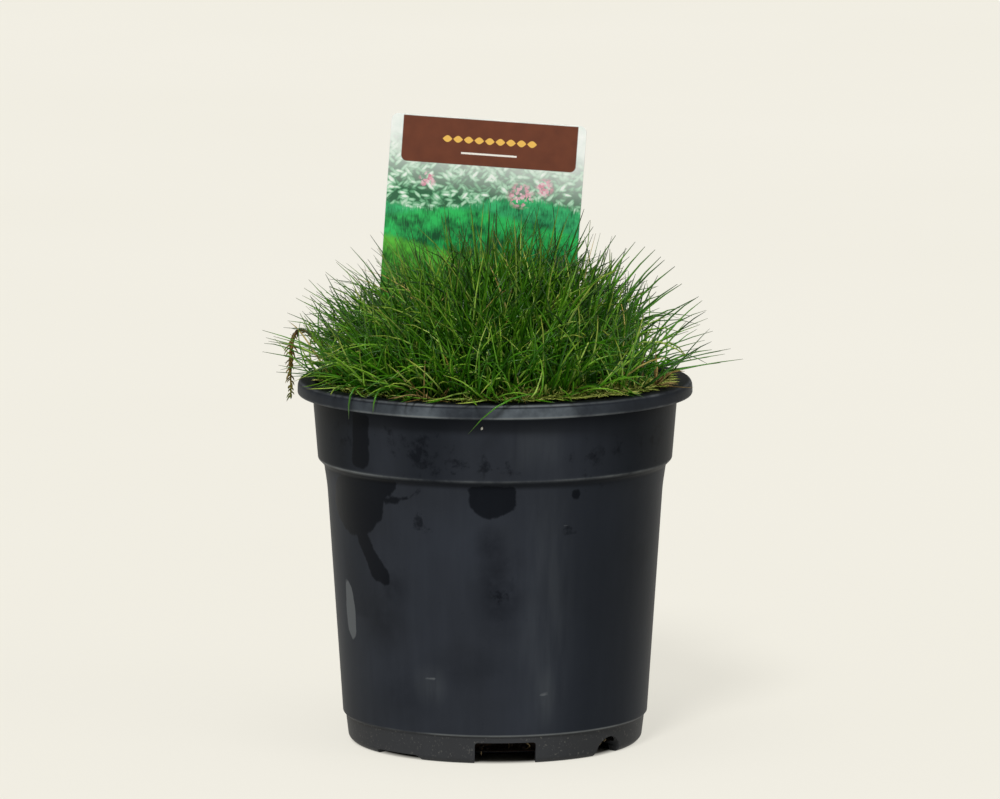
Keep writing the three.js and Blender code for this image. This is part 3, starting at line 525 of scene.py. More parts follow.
# Peat is wet, fibrous and dull: nearly black in the mass, with rust-brown shreds where it dries.
peat, tree, shader = new_material("moist milled peat", Roughness=0.92, Specular_IOR_Level=0.2)
where = add(tree, "TexCoord").outputs["Object"]
crumb = add(tree, "TexNoise", {"Vector": where, "Scale": 1 / (2.2 * MM), "Detail": 6.0,
                               "Roughness": 0.7})
shreds = add(tree, "TexVoronoi", {"Vector": where, "Scale": 1 / (1.6 * MM)})
dark = add(tree, "ValToRGB", {"Fac": crumb},
           stops=[(0.34, "0F0A07"), (0.56, "2E1D13"), (0.74, "5A3E28")])
lit = add(tree, "Mix", {0: 0.3, 6: dark, 7: shreds.outputs["Color"]}, data_type="RGBA",
          blend_type="SOFT_LIGHT")
# The peat is made darker towards the bottom.
height = add(tree, "SeparateXYZ", {0: where}).outputs[2]
darker_below = add(tree, "MapRange", {"Value": height, "From Min": 7 * MM, "From Max": 40 * MM,
                                "To Min": 0.22})
peat_darker_below = add(tree, "Mix", {0: 1.0, 6: lit, 7: darker_below}, data_type="RGBA",
          blend_type="MULTIPLY")
pitted = add(tree, "Bump", {"Height": crumb, "Strength": 0.8, "Distance": 0.6 * MM})
join(shader, {"Base Color": peat_darker_below, "Normal": pitted})
compost = make_piece("peat_compost", peat_points, peat_faces, peat)
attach(compost, "root")
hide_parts("soil")

share = np.sqrt(rng.uniform(0, 1, CRUMBS))
turn = rng.uniform(0, math.tau, CRUMBS)
x, y = CRUMB_REACH * share * np.sin(turn), -CRUMB_REACH * share * np.cos(turn)
sizes = rng.uniform(0.5, 1.9, CRUMBS)
crumb_centres = np.stack([x, y, soil_height(x, y) + 0.2], axis=1)
hanging_at, hanging_sizes = [], []
for angle, width, height in TALL_OPENINGS:
    for _ in range(HANGING_EACH):
        across = rng.uniform(-0.42, 0.42) * width
        r = rng.uniform(55, 60)
        a = math.radians(angle) + across / r
        hanging_at.append((r * math.sin(a), -r * math.cos(a), rng.uniform(0.55, 0.9) * height))
        hanging_sizes.append(rng.uniform(0.5, 1.3))
crumb_centres = np.concatenate([crumb_centres, hanging_at])
sizes = np.concatenate([sizes, hanging_sizes])
crumb_points, crumb_faces = lumps(crumb_centres, sizes, rng)
crumbs = make_piece("peat_crumbs", crumb_points, crumb_faces, peat, sharp=35)
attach(crumbs, "root")


def clouded(grain, detail, *stops):
    """Two colours in clouds of a given grain."""
    where = add(tree, "TexCoord").outputs["Object"]
    clouds = add(tree, "TexNoise", {"Vector": where, "Scale": 1 / (grain * MM), "Detail": detail})
    return add(tree, "ValToRGB", {"Fac": clouds}, stops=stops)


# One grain of expanded perlite from the compost, dried on to the collar: white, matt and pitted.
perlite, tree, shader = new_material("expanded perlite", Roughness=0.85, Specular_IOR_Level=0.3)
join(shader, {"Base Color": clouded(0.4, 3.0, (0.35, "A9A79E"), (0.6, "E8E7E0"))})
stuck_at = (GRAIN_RADIUS * math.sin(GRAIN_ANGLE), -GRAIN_RADIUS * math.cos(GRAIN_ANGLE), GRAIN_HEIGHT)
grain_points, grain_faces = lumps(np.array([stuck_at]), np.array([GRAIN_SIZE]), rng)
grain = make_piece("perlite_grain", grain_points, grain_faces, perlite)
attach(grain, "root")


# The mound of leaves
# Two dozen tufts of rolled needle leaves, each from its own crown in the compost. They stand upright
# in the middle, lean out further towards the edge, and cross each other as they please.

# Leaves of a tuft in the middle and at the edge, and how the leaves at the edge lean and bend.
LEAVES_EACH, EDGE_LEAVES = 215, 150
MOUND_RADIUS, EDGE_LEAN, EDGE_BEND = 62, math.radians(38), math.radians(20)
# Length in the middle, and how much less it is at the edge. On the right, leaves lean by a share less
# and are longer, fully so from a distance on.
MIDDLE_LENGTH, EDGE_SHORTER = 79, 36
RIGHT_UPRIGHT, RIGHT_LONGER, RIGHT_FROM = 0.48, 4, 45
# How wide a tuft's crown is, how far out leaves root at most, and half a leaf's thickness.
CROWN_SPREAD, ROOTED_WITHIN, LEAF_RADIUS = 11, 70, 0.54
# Where leaves have been broken off or combed out, as side, place beyond it, least height and share.
THINNED = [(-1, 84, 0, 0.7), (1, 34, 186, 0.25), (1, 60, 0, 0.5), (1, 72, 0, 0.65)]
# Leaves that would lie low across the rim: where they do, what share of them is lost, and how far
# out none is left.
RIM_REACH, RIM_LOW, RIM_LOST, SPRAWL_REACH = 79, 162, 0.6, 95
# Pieces that a leaf's length is drawn in.
STEPS = 7
# Leaves shorter than this are yellower and lighter, partly as painted light on the low leaves, the most
# so by this much less. Shares that are straw and dead.
SHORT_UNDER, SHORT_BY, STRAW_SHARE, DEAD_SHARE = 44, 24, 0.045, 0.008
# Kinds of leaf: share of them, spread of their lean and bend in degrees, shortest and longest length.
KINDS = [(0.32, 12, 34, 0.8, 1.1), (0.46, 21, 72, 0.74, 1.1), (0.22, 34, 88, 0.36, 0.74)]
# How far out leaves stand freely, and the reach that they are drawn in to past it.
FREE_REACH, REACH = 88, 105
# The label's place, top edge and lean back, half its width, and the room that leaves keep to it.
LABEL_X, LABEL_Y, LABEL_TOP, LABEL_LEAN = -2.4, 42, 264.5, math.radians(2)
LABEL_HALF, LABEL_CLEAR = 42.5, 1.2
# How far past the card's edge it stops holding leaves back, where the wall lifts them, and how softly.
EDGE_MARGIN, EDGE_FADE, WALL_FROM, WALL_RISE, SOFTNESS = 2, 9, 66, 10, 1.5
RIM_TOP = 157.5
# Tips of the leaves that stand clear of the mound, seen from the front, as X and Z, and how far in
# they root and where they pass halfway, as shares.
STRAY_ROOT, STRAY_ALONG, STRAY_RISEN = 0.52, 0.4, 0.56
STRAY_TIPS = [(-99.8, 179), (-98.5, 174.3), (-100.2, 167.8), (-93.8, 161.3), (-89, 186.4),
              (-82.5, 194.2), (-76.5, 195.9), (-72.6, 204.2), (-62.3, 211.9), (-53.7, 218.4),
              (-9.9, 228.3), (-10.7, 232.2), (-3, 233.1), (18.9, 232.2), (31.7, 229.6), (40.7, 224),
              (51.9, 218), (64.4, 213.7), (73, 206.8), (77.3, 205), (80.7, 195.9), (84.2, 185.1),
              (90.3, 173), (97.2, 168.6), (106.5, 165.6), (97.2, 163), (88, 181), (94, 176),
              (86.5, 190), (101, 171), (92, 166), (83, 178), (78, 199), (69, 211), (87, 170),
              (60, 217), (99, 166.5), (-95, 176), (-86, 190), (-68, 208), (-90, 168)]
# Leaves that have flopped over the rim at the front: root, a point on the rim, and tip.
FLOPPED = [[(-46, -42, 153), (-58.5, -58.5, 161), (-61.6, -62, 147.8)],
           [(-40, -45, 153), (-48, -66, 161), (-51.4, -70.6, 151.4)],
           [(34, -50, 153), (10, -83, 160.5), (-11.3, -87.4, 145)],
           [(58, 42, 153), (74, 47, 160), (78.5, 50, 147)],
           [(-30, 55, 153), (-42, 76, 160.5), (-45.5, 79, 149)]]


def grown(roots, lean, bend, length, steps=STEPS):
    """Centre lines of leaves that tilt by lean at the root and by bend more at the tip."""
    s = np.linspace(0, 1, steps + 1)
    tilt = lean[:, None] + bend[:, None] * s[None, :, None] ** 1.3
    size = np.linalg.norm(tilt, axis=2, keepdims=True)
    held = np.minimum(size, math.radians(118))
    heading = np.concatenate([tilt / np.maximum(size, 1e-6) * np.sin(held), np.cos(held)], axis=2)
    hops = (heading[:, 1:] + heading[:, :-1]) / 2 * (length / steps)[:, None, None]
    return np.concatenate([roots[:, None], roots[:, None] + np.cumsum(hops, axis=1)], axis=1)


def settled(lines):
    """The lines drawn in at the plant's reach, held by the label and lifted over compost and rim."""
    x, y, z = (lines[..., i].copy() for i in range(3))
    limit = LABEL_Y + (z - LABEL_TOP) * math.tan(LABEL_LEAN) - LABEL_CLEAR
    root_y = np.broadcast_to(y[:, :1], y.shape)
    room = np.maximum(limit - root_y, 0.5)
    held = root_y + room * (1 - np.exp(-np.maximum(y - root_y, 0) / room))
    beside = np.clip((np.abs(x - LABEL_X) - LABEL_HALF - EDGE_MARGIN) / EDGE_FADE, 0, 1)
    beside = beside * beside * (3 - 2 * beside)
    behind = root_y >= limit
    y = np.where(behind | (y <= root_y), y, held + (y - held) * beside)
    card_back = limit + 2 * LABEL_CLEAR
    y = np.where(behind & (y < card_back) & (beside < 0.5), card_back + 0.15 * (card_back - y), y)
    far = np.hypot(x, y)
    spare = REACH - FREE_REACH
    drawn = np.minimum(far, FREE_REACH) + spare * np.tanh(np.maximum(0, far - FREE_REACH) / spare)
    x, y = x * drawn / np.maximum(far, 1e-6), y * drawn / np.maximum(far, 1e-6)
    over = np.clip((drawn - WALL_FROM) / WALL_RISE, 0, 1)
    floor = soil_height(x, y)
    floor = floor + (RIM_TOP - floor) * over * over * (3 - 2 * over) + 0.5
    z = floor + np.logaddexp(0, (z - floor) / SOFTNESS) * SOFTNESS
    return np.stack([x, y, z], axis=2)


def through(root, middle, tip):
    """A leaf's centre line through a root, a middle point and a tip."""
    a, b, c = (np.array(p, float) for p in (root, middle, tip))
    t = np.linspace(0, 1, STEPS + 1)[:, None]
    pull = 2 * b - (a + c) / 2
    return a * (1 - t) ** 2 + pull * 2 * t * (1 - t) + c * t ** 2


def needles(lines, radius, flat=0.72):
    """Rolled leaves round their centre lines: points, faces and each point's share of the length."""
    count, rows = lines.shape[:2]
    along = np.gradient(lines, axis=1)
    along /= np.linalg.norm(along, axis=2, keepdims=True)
    side = np.cross(along[:, 0], np.tile([0.31, -0.22, 0.93], (count, 1)))
    side += 1e-3
    side /= np.linalg.norm(side, axis=1, keepdims=True)
    s = np.linspace(0, 1, rows)
    taper = np.minimum(1, 0.78 + 1.1 * s) * (1 - 0.82 * s ** 4)
    rings = []
    for row in range(rows):
        side = side - along[:, row] * np.sum(side * along[:, row], axis=1, keepdims=True)
        side /= np.linalg.norm(side, axis=1, keepdims=True)
        other = np.cross(along[:, row], side) * flat
        wide = (radius * taper[row])[:, None]
        rings.append(np.stack([lines[:, row] + d * wide for d in (side, other, -side, -other)], axis=1))
    points = np.stack(rings, axis=1).reshape(-1, 3)
    base = (np.arange(count) * rows * 4)[:, None, None]
    row_at = (np.arange(rows - 1) * 4)[None, :, None]
    quarter = np.arange(4)[None, None]
    after = (quarter + 1) % 4
    walls = np.stack([base + row_at + quarter, base + row_at + after, base + row_at + after + 4,
                      base + row_at + quarter + 4], axis=3).reshape(-1, 4)
    starts = (np.arange(count) * rows * 4)[:, None]
    bottom, top = starts + [3, 2, 1, 0], starts + (rows - 1) * 4 + [0, 1, 2, 3]
    return points, np.concatenate([walls, bottom, top]).tolist(), np.tile(np.repeat(s, 4), count)


def strip_map(piece, count, rows):
    """A map on which each leaf has a strip of its own, so that its colours can be baked."""
    strips = (np.arange(count) + 0.5) / count
    half = 0.4 / count
    leaf = np.repeat(strips, (rows - 1) * 4)
    low = np.tile(np.repeat(np.arange(rows - 1) / (rows - 1), 4), count)
    high = low + 1 / (rows - 1)
    quads = [(leaf, low, high)]
    quads += [(strips, np.full(count, v - 0.002), np.full(count, v + 0.002)) for v in (0.002, 0.998)]
    flat = [np.stack([u - half, a, u + half, a, u + half, b, u - half, b], axis=1).ravel()
            for u, a, b in quads]
    flat = np.concatenate(flat).astype(np.float32)
    piece.data.uv_layers.new(name="OFBake").data.foreach_set("uv", flat)


def rooted(foot, above):
    """Places on the compost, a little above or below its surface."""
    return np.concatenate([foot, (soil_height(foot[:, 0], foot[:, 1]) + above)[:, None]], axis=1)


def crown_of(node):
    """The middle of a tuft's foot in the frame."""
    places = points_of(node)
    return places[places[:, 2] < places[:, 2].min() + 1].mean(axis=0)[:2]


def blotched(colour, grain, detail, *stops):
    """A colour made darker and lighter in blotches of a given grain."""
    where = add(tree, "TexCoord").outputs["Object"]
    blotches = add(tree, "TexNoise", {"Vector": where, "Scale": 1 / (grain * MM), "Detail": detail})
    shade = add(tree, "ValToRGB", {"Fac": blotches}, stops=[(at, (*tint, 1)) for at, tint in stops])
    return add(tree, "Mix", {0: 1.0, 6: colour, 7: shade}, data_type="RGBA", blend_type="MULTIPLY")


# Fescue leaves are rolled into waxy needles. The skin gives a low gloss along the leaf, and the green
# runs from a root end painted dark as shade deep in the mound, through deep green to a brighter
# yellow-green tip.
leaf_green, tree, shader = new_material("waxy rolled leaf", Roughness=0.32, IOR=1.45,
                                        Specular_IOR_Level=0.4)
tone, along = painted("tone", "along")
greens = add(tree, "ValToRGB", {"Fac": tone},
             stops=[(0.0, "153C04"), (1.0, "BFAE68"), (0.3, "2E660A"),
                    (0.6, "509218"), (0.84, "84B63A"), (0.95, "B2C86A")])
# Painted shade: each leaf is darker towards its root, deep in the mound; its tip turns brown.
length_tint_and_shade = add(tree, "ValToRGB", {"Fac": along},
                  stops=[(0.0, "77704A"), (1.0, "92703F"), (0.1, "8A9C60"),
                         (0.3, "A4BC88"), (0.62, "FFFFFF"), (0.9, "E2D8AA")])
dyed = add(tree, "Mix", {0: 1.0, 6: greens, 7: length_tint_and_shade}, data_type="RGBA",
           blend_type="MULTIPLY")
shaded = blotched(dyed, 7, 2.0, (0.3, (0.62, 0.68, 0.6)), (0.7, (1.3, 1.26, 1.34)))
join(shader, {"Base Color": shaded})

tuft_names = sorted(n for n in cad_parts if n.startswith("tuft_"))
crowns = {name: crown_of(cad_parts[name]) for name in tuft_names}
rng = np.random.default_rng(11)
single = {name: [] for name in tuft_names}


def join_tuft(root, over, tip):
    """Gives a single leaf to the tuft whose crown is nearest to its root."""
    nearest = min(tuft_names, key=lambda name: np.hypot(*(crowns[name] - root[:2])))
    single[nearest].append(through(root, over, tip))


for x, z in STRAY_TIPS:
    y = rng.uniform(-14, 16)
    root = np.array([x * STRAY_ROOT, y * 0.8])
    height = soil_height(*root)
    middle = (*(root + ((x, y) - root) * STRAY_ALONG), height + (z - height) * STRAY_RISEN)
    join_tuft((*root, height - 1), middle, (x, y, z))
for leaf in FLOPPED:
    join_tuft(*leaf)

for name in tuft_names:
    outer = np.clip(np.hypot(*crowns[name]) / MOUND_RADIUS * 2 - 1, 0, 1)
    count = round(LEAVES_EACH + (EDGE_LEAVES - LEAVES_EACH) * outer)
    off = rng.normal(0, 1, (count, 2))
    off *= (CROWN_SPREAD * np.sqrt(rng.uniform(0, 1, count)) / np.linalg.norm(off, axis=1))[:, None]
    foot = crowns[name] + off
    away = np.linalg.norm(foot, axis=1, keepdims=True)
    foot *= np.minimum(1, ROOTED_WITHIN / away)
    share = np.minimum(away, 72) / MOUND_RADIUS
    outward = foot / np.maximum(away, 1)
    kinds = np.array(KINDS)[rng.choice(len(KINDS), count, p=[kind[0] for kind in KINDS])]
    to_right = np.clip(foot[:, :1] / RIGHT_FROM, 0, 1)
    upright = 1 - RIGHT_UPRIGHT * to_right
    lean = outward * EDGE_LEAN * share ** 1.35 * upright + off / CROWN_SPREAD * math.radians(9)
    lean += rng.normal(0, 1, (count, 2)) * np.radians(kinds[:, 1:2])
    length = MIDDLE_LENGTH - EDGE_SHORTER * np.minimum(share[:, 0], 1) ** 1.15
    length += RIGHT_LONGER * to_right[:, 0]
    length *= rng.uniform(kinds[:, 3], kinds[:, 4])
    bend = outward * EDGE_BEND * share * upright * (length / 36)[:, None]
    bend += rng.normal(0, 1, (count, 2)) * np.radians(kinds[:, 2:3])
    lines = settled(grown(rooted(foot, -1.5), lean, bend, length))
    for hand, past, above, share_lost in THINNED:
        beyond = ((lines[..., 0] * hand > past) & (lines[..., 2] > above)).any(axis=1)
        lines = lines[~beyond | (rng.uniform(0, 1, len(lines)) > share_lost)]
    reach = np.hypot(lines[..., 0], lines[..., 1])
    across_rim = ((reach > RIM_REACH) & (lines[..., 2] < RIM_LOW)).any(axis=1)
    lines = lines[~across_rim | (rng.uniform(0, 1, len(lines)) > RIM_LOST)]
    bulk = len(lines)
    if single[name]:
        lines = np.concatenate([lines, single[name]])
    count = len(lines)
    thick = LEAF_RADIUS * rng.uniform(0.72, 1.2, count)
    thick[bulk:] = LEAF_RADIUS * 1.1
    straight = np.linalg.norm(lines[:, -1] - lines[:, 0], axis=1)
    # Short leaves get a lighter, yellower tone: their own colour and painted light on the low leaves.
    short = np.clip((SHORT_UNDER - straight) / SHORT_BY, 0, 1)
    tones = np.clip(rng.beta(1.5, 1.9, count) + 0.28 * short, 0, 0.9)
    tones[rng.uniform(0, 1, count) < STRAW_SHARE] = 0.92
    tones[bulk:] = rng.uniform(0.25, 0.7, count - bulk)
    tones[rng.uniform(0, 1, count) < DEAD_SHARE] = 1.0
    # Leaves that still lie low past the rim are left out. Single ones hang there on purpose.
    reach = np.hypot(lines[..., 0], lines[..., 1])
    kept = ~((reach > SPRAWL_REACH) & (lines[..., 2] < RIM_LOW)).any(axis=1)
    kept[bulk:] = True
    points, faces, run = needles(lines[kept], thick[kept])
    tuft = make_piece("leaves_" + name[-2:], points, faces, leaf_green)
    per_leaf = (STEPS + 1) * 4
    paint(tuft, "tone", np.repeat(tones[kept], per_leaf))
    paint(tuft, "along", run)
    strip_map(tuft, int(kept.sum()), STEPS + 1)
    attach(tuft, "root")
    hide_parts(name)


# Moss
# Cushions of yellow-green moss and short lying growth between the outer tufts and the wall, thickest
# at the front right. Each shoot is a bent strand only a few millimetres long.

SHOOTS, SHOOT_STEPS, SHOOT_RADIUS = 4600, 4, 0.34
# The ring that the moss grows in, where it stands highest across the ring, and round it the angles
# that have most shoots and the tallest cushions.
MOSS_FROM, MOSS_TO, MOSS_CREST, CREST_HALF, CREST_HEIGHT = 55, 76.5, 68, 10, 8
THICKEST_FROM, THICKEST_TO, THICKEST_AT, THICK_HALF = -15, 78, 32, 46
turn = np.radians(np.concatenate([rng.uniform(THICKEST_FROM, THICKEST_TO, SHOOTS // 2),
                                  rng.uniform(-180, 180, SHOOTS - SHOOTS // 2)]))
r = rng.uniform(MOSS_FROM, MOSS_TO, SHOOTS)
foot = np.stack([r * np.sin(turn), -r * np.cos(turn)], axis=1)
thick = np.clip(1.5 - np.abs(np.degrees(turn) - THICKEST_AT) / THICK_HALF, 0.15, 1)
rise = np.clip(1.3 - np.abs(r - MOSS_CREST) / CREST_HALF, 0, 1) * CREST_HEIGHT * thick
foot3 = rooted(foot, rise * rng.uniform(0, 1, SHOOTS))
lean = rng.normal(0, 0.8, (SHOOTS, 2)) + foot / r[:, None] * 0.25
bend = rng.normal(0, 1.3, (SHOOTS, 2))
length = rng.uniform(3.2, 6.4, SHOOTS) * (0.6 + 0.9 * thick)
lines = settled(grown(foot3, lean, bend, length, SHOOT_STEPS))
points, faces, run = needles(lines, SHOOT_RADIUS * rng.uniform(0.7, 1.3, SHOOTS))

# Moss has no waxy skin: it is matt, and its young tips are a bright yellow-green.
moss_green, tree, shader = new_material("soft cushion moss", Roughness=0.8, Specular_IOR_Level=0.2)
tone, along = painted("tone", "along")
greens = add(tree, "ValToRGB", {"Fac": tone},
             stops=[(0.0, "4A5A18"), (1.0, "C8CC74"), (0.5, "86963A")])
tip_tint = add(tree, "ValToRGB", {"Fac": along}, stops=[(0.0, "7A6A4A"), (0.6, "FFFFFF")])
dyed = add(tree, "Mix", {0: 1.0, 6: greens, 7: tip_tint}, data_type="RGBA",
           blend_type="MULTIPLY")
join(shader, {"Base Color": dyed})
moss = make_piece("moss_cushions", points, faces, moss_green)
paint(moss, "tone", np.repeat(rng.uniform(0, 1, SHOOTS), (SHOOT_STEPS + 1) * 4))
paint(moss, "along", run)
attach(moss, "root")


# Dry leaves
# Small bunches of spent leaves near the edge. They have lost their wax and their roll, so they are
# tan, papery and kinked.

DRY_EACH = 18
dry_tan, tree, shader = new_material("spent papery leaf", Roughness=0.75, Specular_IOR_Level=0.3)
tone, = painted("tone")
straw = add(tree, "ValToRGB", {"Fac": tone},
            stops=[(0.0, "5C4622"), (1.0, "CDB67C"), (0.5, "8E7742")])
stained = blotched(straw, 2.5, 3.0, (0.35, (0.6, 0.58, 0.48)), (0.6, (1.1, 1.1, 1.1)))
join(shader, {"Base Color": stained})
for name in sorted(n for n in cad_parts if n.startswith("dry_leaves_")):
    crown = crown_of(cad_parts[name])
    foot = crown + rng.normal(0, 2.5, (DRY_EACH, 2))
    outward = np.tile(crown / np.hypot(*crown), (DRY_EACH, 1))
    lean = outward * 0.3 + rng.normal(0, 0.55, (DRY_EACH, 2))
    bend = outward * 0.9 + rng.normal(0, 0.8, (DRY_EACH, 2))
    lines = settled(grown(rooted(foot, -0.5), lean, bend, rng.uniform(11, 24, DRY_EACH)))
    points, faces, _ = needles(lines, rng.uniform(0.4, 0.62, DRY_EACH), flat=0.35)
    dry = make_piece("spent_leaves_" + name[-2:], points, faces, dry_tan)
    paint(dry, "tone", np.repeat(rng.uniform(0, 1, DRY_EACH), (STEPS + 1) * 4))
    strip_map(dry, DRY_EACH, STEPS + 1)
    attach(dry, "root")
    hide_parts(name)


# Root tips
# A few roots have found the drain openings. Each is a pale thread that bends down from the compost
# and stops short of the ground.

ROOTS_EACH = 4
root_lines = []
for angle, width, height in TALL_OPENINGS:
    for _ in range(ROOTS_EACH):
        a = math.radians(angle) + rng.uniform(-0.4, 0.4) * width / 60
        r = rng.uniform(56, 60.5)
        top = np.array((r * math.sin(a), -r * math.cos(a), height * 0.98))
        drop = np.array((*rng.normal(0, 1.5, 2), -height * rng.uniform(0.2, 0.85)))
        bow = np.array((*rng.normal(0, 1.2, 2), 0))
        root_lines.append([top + drop * t + bow * t * (1 - t) * 4
                           for t in np.linspace(0, 1, STEPS + 1)])
points, faces, _ = needles(np.array(root_lines), rng.uniform(0.25, 0.5, len(root_lines)), flat=0.9)

# Young roots are matt and cream, stained brown where the peat has clung to them.
root_cream, tree, shader = new_material("young fibrous root", Roughness=0.8, Specular_IOR_Level=0.2)
join(shader, {"Base Color": clouded(1.8, 3.0, (0.42, "22170D"), (0.7, "8C7C5C"))})
roots = make_piece("root_tips", points, faces, root_cream)
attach(roots, "root")


# The seed stalk
# A spent shoot that arches over the left of the rim and hangs outside it. Its small bracts sit close
# together and open widest halfway down. It is brown where it has dried and olive at the end.

STALK = [(-66.8, 5.3, 156), (-71.5, 6, 166), (-78.5, 7, 174), (-84.4, 8, 177), (-87.4, 8.5, 171),
         (-88.2, 8.5, 159), (-88, 8, 147.5)]
# Rows of the stem, where the bracts begin and how far apart they are, where they open widest and
# over what length, and the radius that keeps them off the rim.
STEM_ROWS, BRACTS_FROM, BRACT_GAP, WIDEST_AT, WIDE_HALF, OFF_RIM = 28, 12, 0.62, 40, 6, 85.7
# The height of its olive end, and over what height it turns brown.
OLIVE_END, TURNING = 147, 30
stalk_points = np.array(STALK)
far = np.concatenate([[0], np.cumsum(np.linalg.norm(np.diff(stalk_points, axis=0), axis=1))])


def on_stalk(at):
    """A point of the stalk's smooth line at a distance from its foot."""
    i = min(max(int(np.searchsorted(far, at)) - 1, 0), len(STALK) - 2)
    t = (at - far[i]) / (far[i + 1] - far[i])
    p = [stalk_points[min(max(i + k, 0), len(STALK) - 1)] for k in (-1, 0, 1, 2)]
    return 0.5 * ((2 * p[1]) + (p[2] - p[0]) * t + (2 * p[0] - 5 * p[1] + 4 * p[2] - p[3]) * t * t
                  + (3 * p[1] - p[0] - 3 * p[2] + p[3]) * t ** 3)


stem = np.array([on_stalk(far[-1] * i / (STEM_ROWS - 1)) for i in range(STEM_ROWS)])[None]
points, faces, _ = needles(stem, np.array([0.75]), flat=0.95)
bract_lines = []
for at in np.arange(BRACTS_FROM, far[-1] - 0.5, BRACT_GAP):
    here, ahead = on_stalk(at), on_stalk(min(at + 1, far[-1]))
    forward = (ahead - here) / max(np.linalg.norm(ahead - here), 1e-6)
    out = rng.normal(0, 1, 3)
    out -= forward * (out @ forward)
    out /= np.linalg.norm(out)
    opened = 0.75 + 0.5 * math.exp(-((at - WIDEST_AT) / WIDE_HALF) ** 2)
    size = rng.uniform(2, 3.9) * opened
    bract_lines.append([here + (out * (1.15 - 0.35 * k) + forward * (0.35 + 0.5 * k)) * size * k
                        for k in np.linspace(0, 1, STEPS + 1)])
bract_lines = np.array(bract_lines)
radial = np.hypot(bract_lines[..., 0], bract_lines[..., 1])
push = np.where((bract_lines[..., 2] < RIM_TOP) & (radial < OFF_RIM), OFF_RIM / radial, 1)[..., None]
bract_lines = np.concatenate([bract_lines[..., :2] * push, bract_lines[..., 2:]], axis=2)
thick = rng.uniform(0.45, 0.75, len(bract_lines))
more_points, more_faces, _ = needles(bract_lines, thick, flat=0.5)
faces = faces + [[i + len(points) for i in face] for face in more_faces]
points = np.concatenate([points, more_points])

# Dried husk: matt, russet to brown, and still olive at the hanging end.
husk, tree, shader = new_material("dried husk", Roughness=0.7, Specular_IOR_Level=0.25)
level, = painted("level")
browns = add(tree, "ValToRGB", {"Fac": level},
             stops=[(0.0, "566423"), (1.0, "4A3820"), (0.35, "7C6A2C"),
                    (0.75, "705A2A")])
flecked = blotched(browns, 1.4, 2.0, (0.35, (0.5, 0.5, 0.5)), (0.65, (1.5, 1.4, 1.2)))
join(shader, {"Base Color": flecked})
stalk = make_piece("dried_stalk", points, faces, husk)
paint(stalk, "level", np.clip((points[:, 2] - OLIVE_END) / TURNING, 0, 1))
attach(stalk, "root")
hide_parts("seed_stalk")


# The picture label
# A thin polystyrene card on a pointed stake, printed on its front with a garden picture under a
# brown band. The picture is a generic one: a misty border and green slopes, with small blossoms.

CARD_WIDTH, CARD_TALL, CARD_TAPER, CARD_STAKE, CARD_STAKE_WIDTH = 85, 88, 20, 46, 16
CARD_THICK, CARD_CORNER = 0.8, 3
CARD_ROLL = math.radians(4.1)
# The card's outline from its lower left corner, clockwise, with its top edge at zero.
half, stem = CARD_WIDTH / 2, CARD_STAKE_WIDTH / 2
foot = -CARD_TALL - CARD_TAPER
point, point_half = foot - CARD_STAKE * 0.8, stem * 0.7
outline = [(-half, -CARD_TALL), *upper_corners(half, 0, CARD_CORNER), (half, -CARD_TALL), (stem, foot),
           (point_half, point), (0, foot - CARD_STAKE), (-point_half, point), (-stem, foot)]
n = len(outline)
inset = [(x * 0.996, z * 0.998 - 0.1) for x, z in outline]
half = CARD_THICK / 2
layers = [(inset, -half), (outline, -half + 0.15), (outline, half - 0.15), (inset, half)]
points = [(x, y, z) for shape, y in layers for x, z in shape]
faces = [[k * n + i, k * n + (i + 1) % n, (k + 1) * n + (i + 1) % n, (k + 1) * n + i]
         for k in range(3) for i in range(n)]
faces += [list(range(n))[::-1], list(range(3 * n, 4 * n))]
place = (Matrix.Translation((LABEL_X, LABEL_Y, LABEL_TOP)) @ Matrix.Rotation(CARD_ROLL, 4, "Y")
         @ Matrix.Rotation(-LABEL_LEAN, 4, "X"))
flat_points = np.array(points)
stood = [place @ Vector(p) for p in points]

# Printed card: the ink lies under a thin clear film, so it has an even low gloss. The picture is
# drawn from noises and cells on the card's own map, in millimetres from the middle of its top edge.
printed, tree, shader = new_material("printed polystyrene card", Roughness=0.38, IOR=1.59,
                                     Specular_IOR_Level=0.4)
spot = add(tree, "UVMap", uv_map="print")
across, up = add(tree, "SeparateXYZ", {0: spot}).outputs[:2]
soft = add(tree, "TexNoise", {"Vector": spot, "Scale": 0.16, "Detail": 4.0})
blades_at = add(tree, "Mapping", {"Vector": spot, "Scale": (1.7, 0.3, 1)})
strokes = add(tree, "TexNoise", {"Vector": blades_at, "Scale": 1.0, "Detail": 4.0})
masses = add(tree, "TexNoise", {"Vector": spot, "Scale": 0.14, "Detail": 4.0, "Roughness": 0.55})
wander = add(tree, "TexNoise", {"Vector": spot, "Scale": 0.5, "Detail": 2.0})
sway, drift = (add(tree, "VectorMath", {0: wander.outputs["Color"], 1: (far, far, 0), 2: spot},
                   operation="MULTIPLY_ADD") for far in (0.9, 2.2))


def combined(operation, *amounts):
    """Several amounts combined one after another."""
    found = amounts[0]
    for amount in amounts[1:]:
        found = add(tree, "Math", {0: found, 1: amount}, operation=operation)
    return found


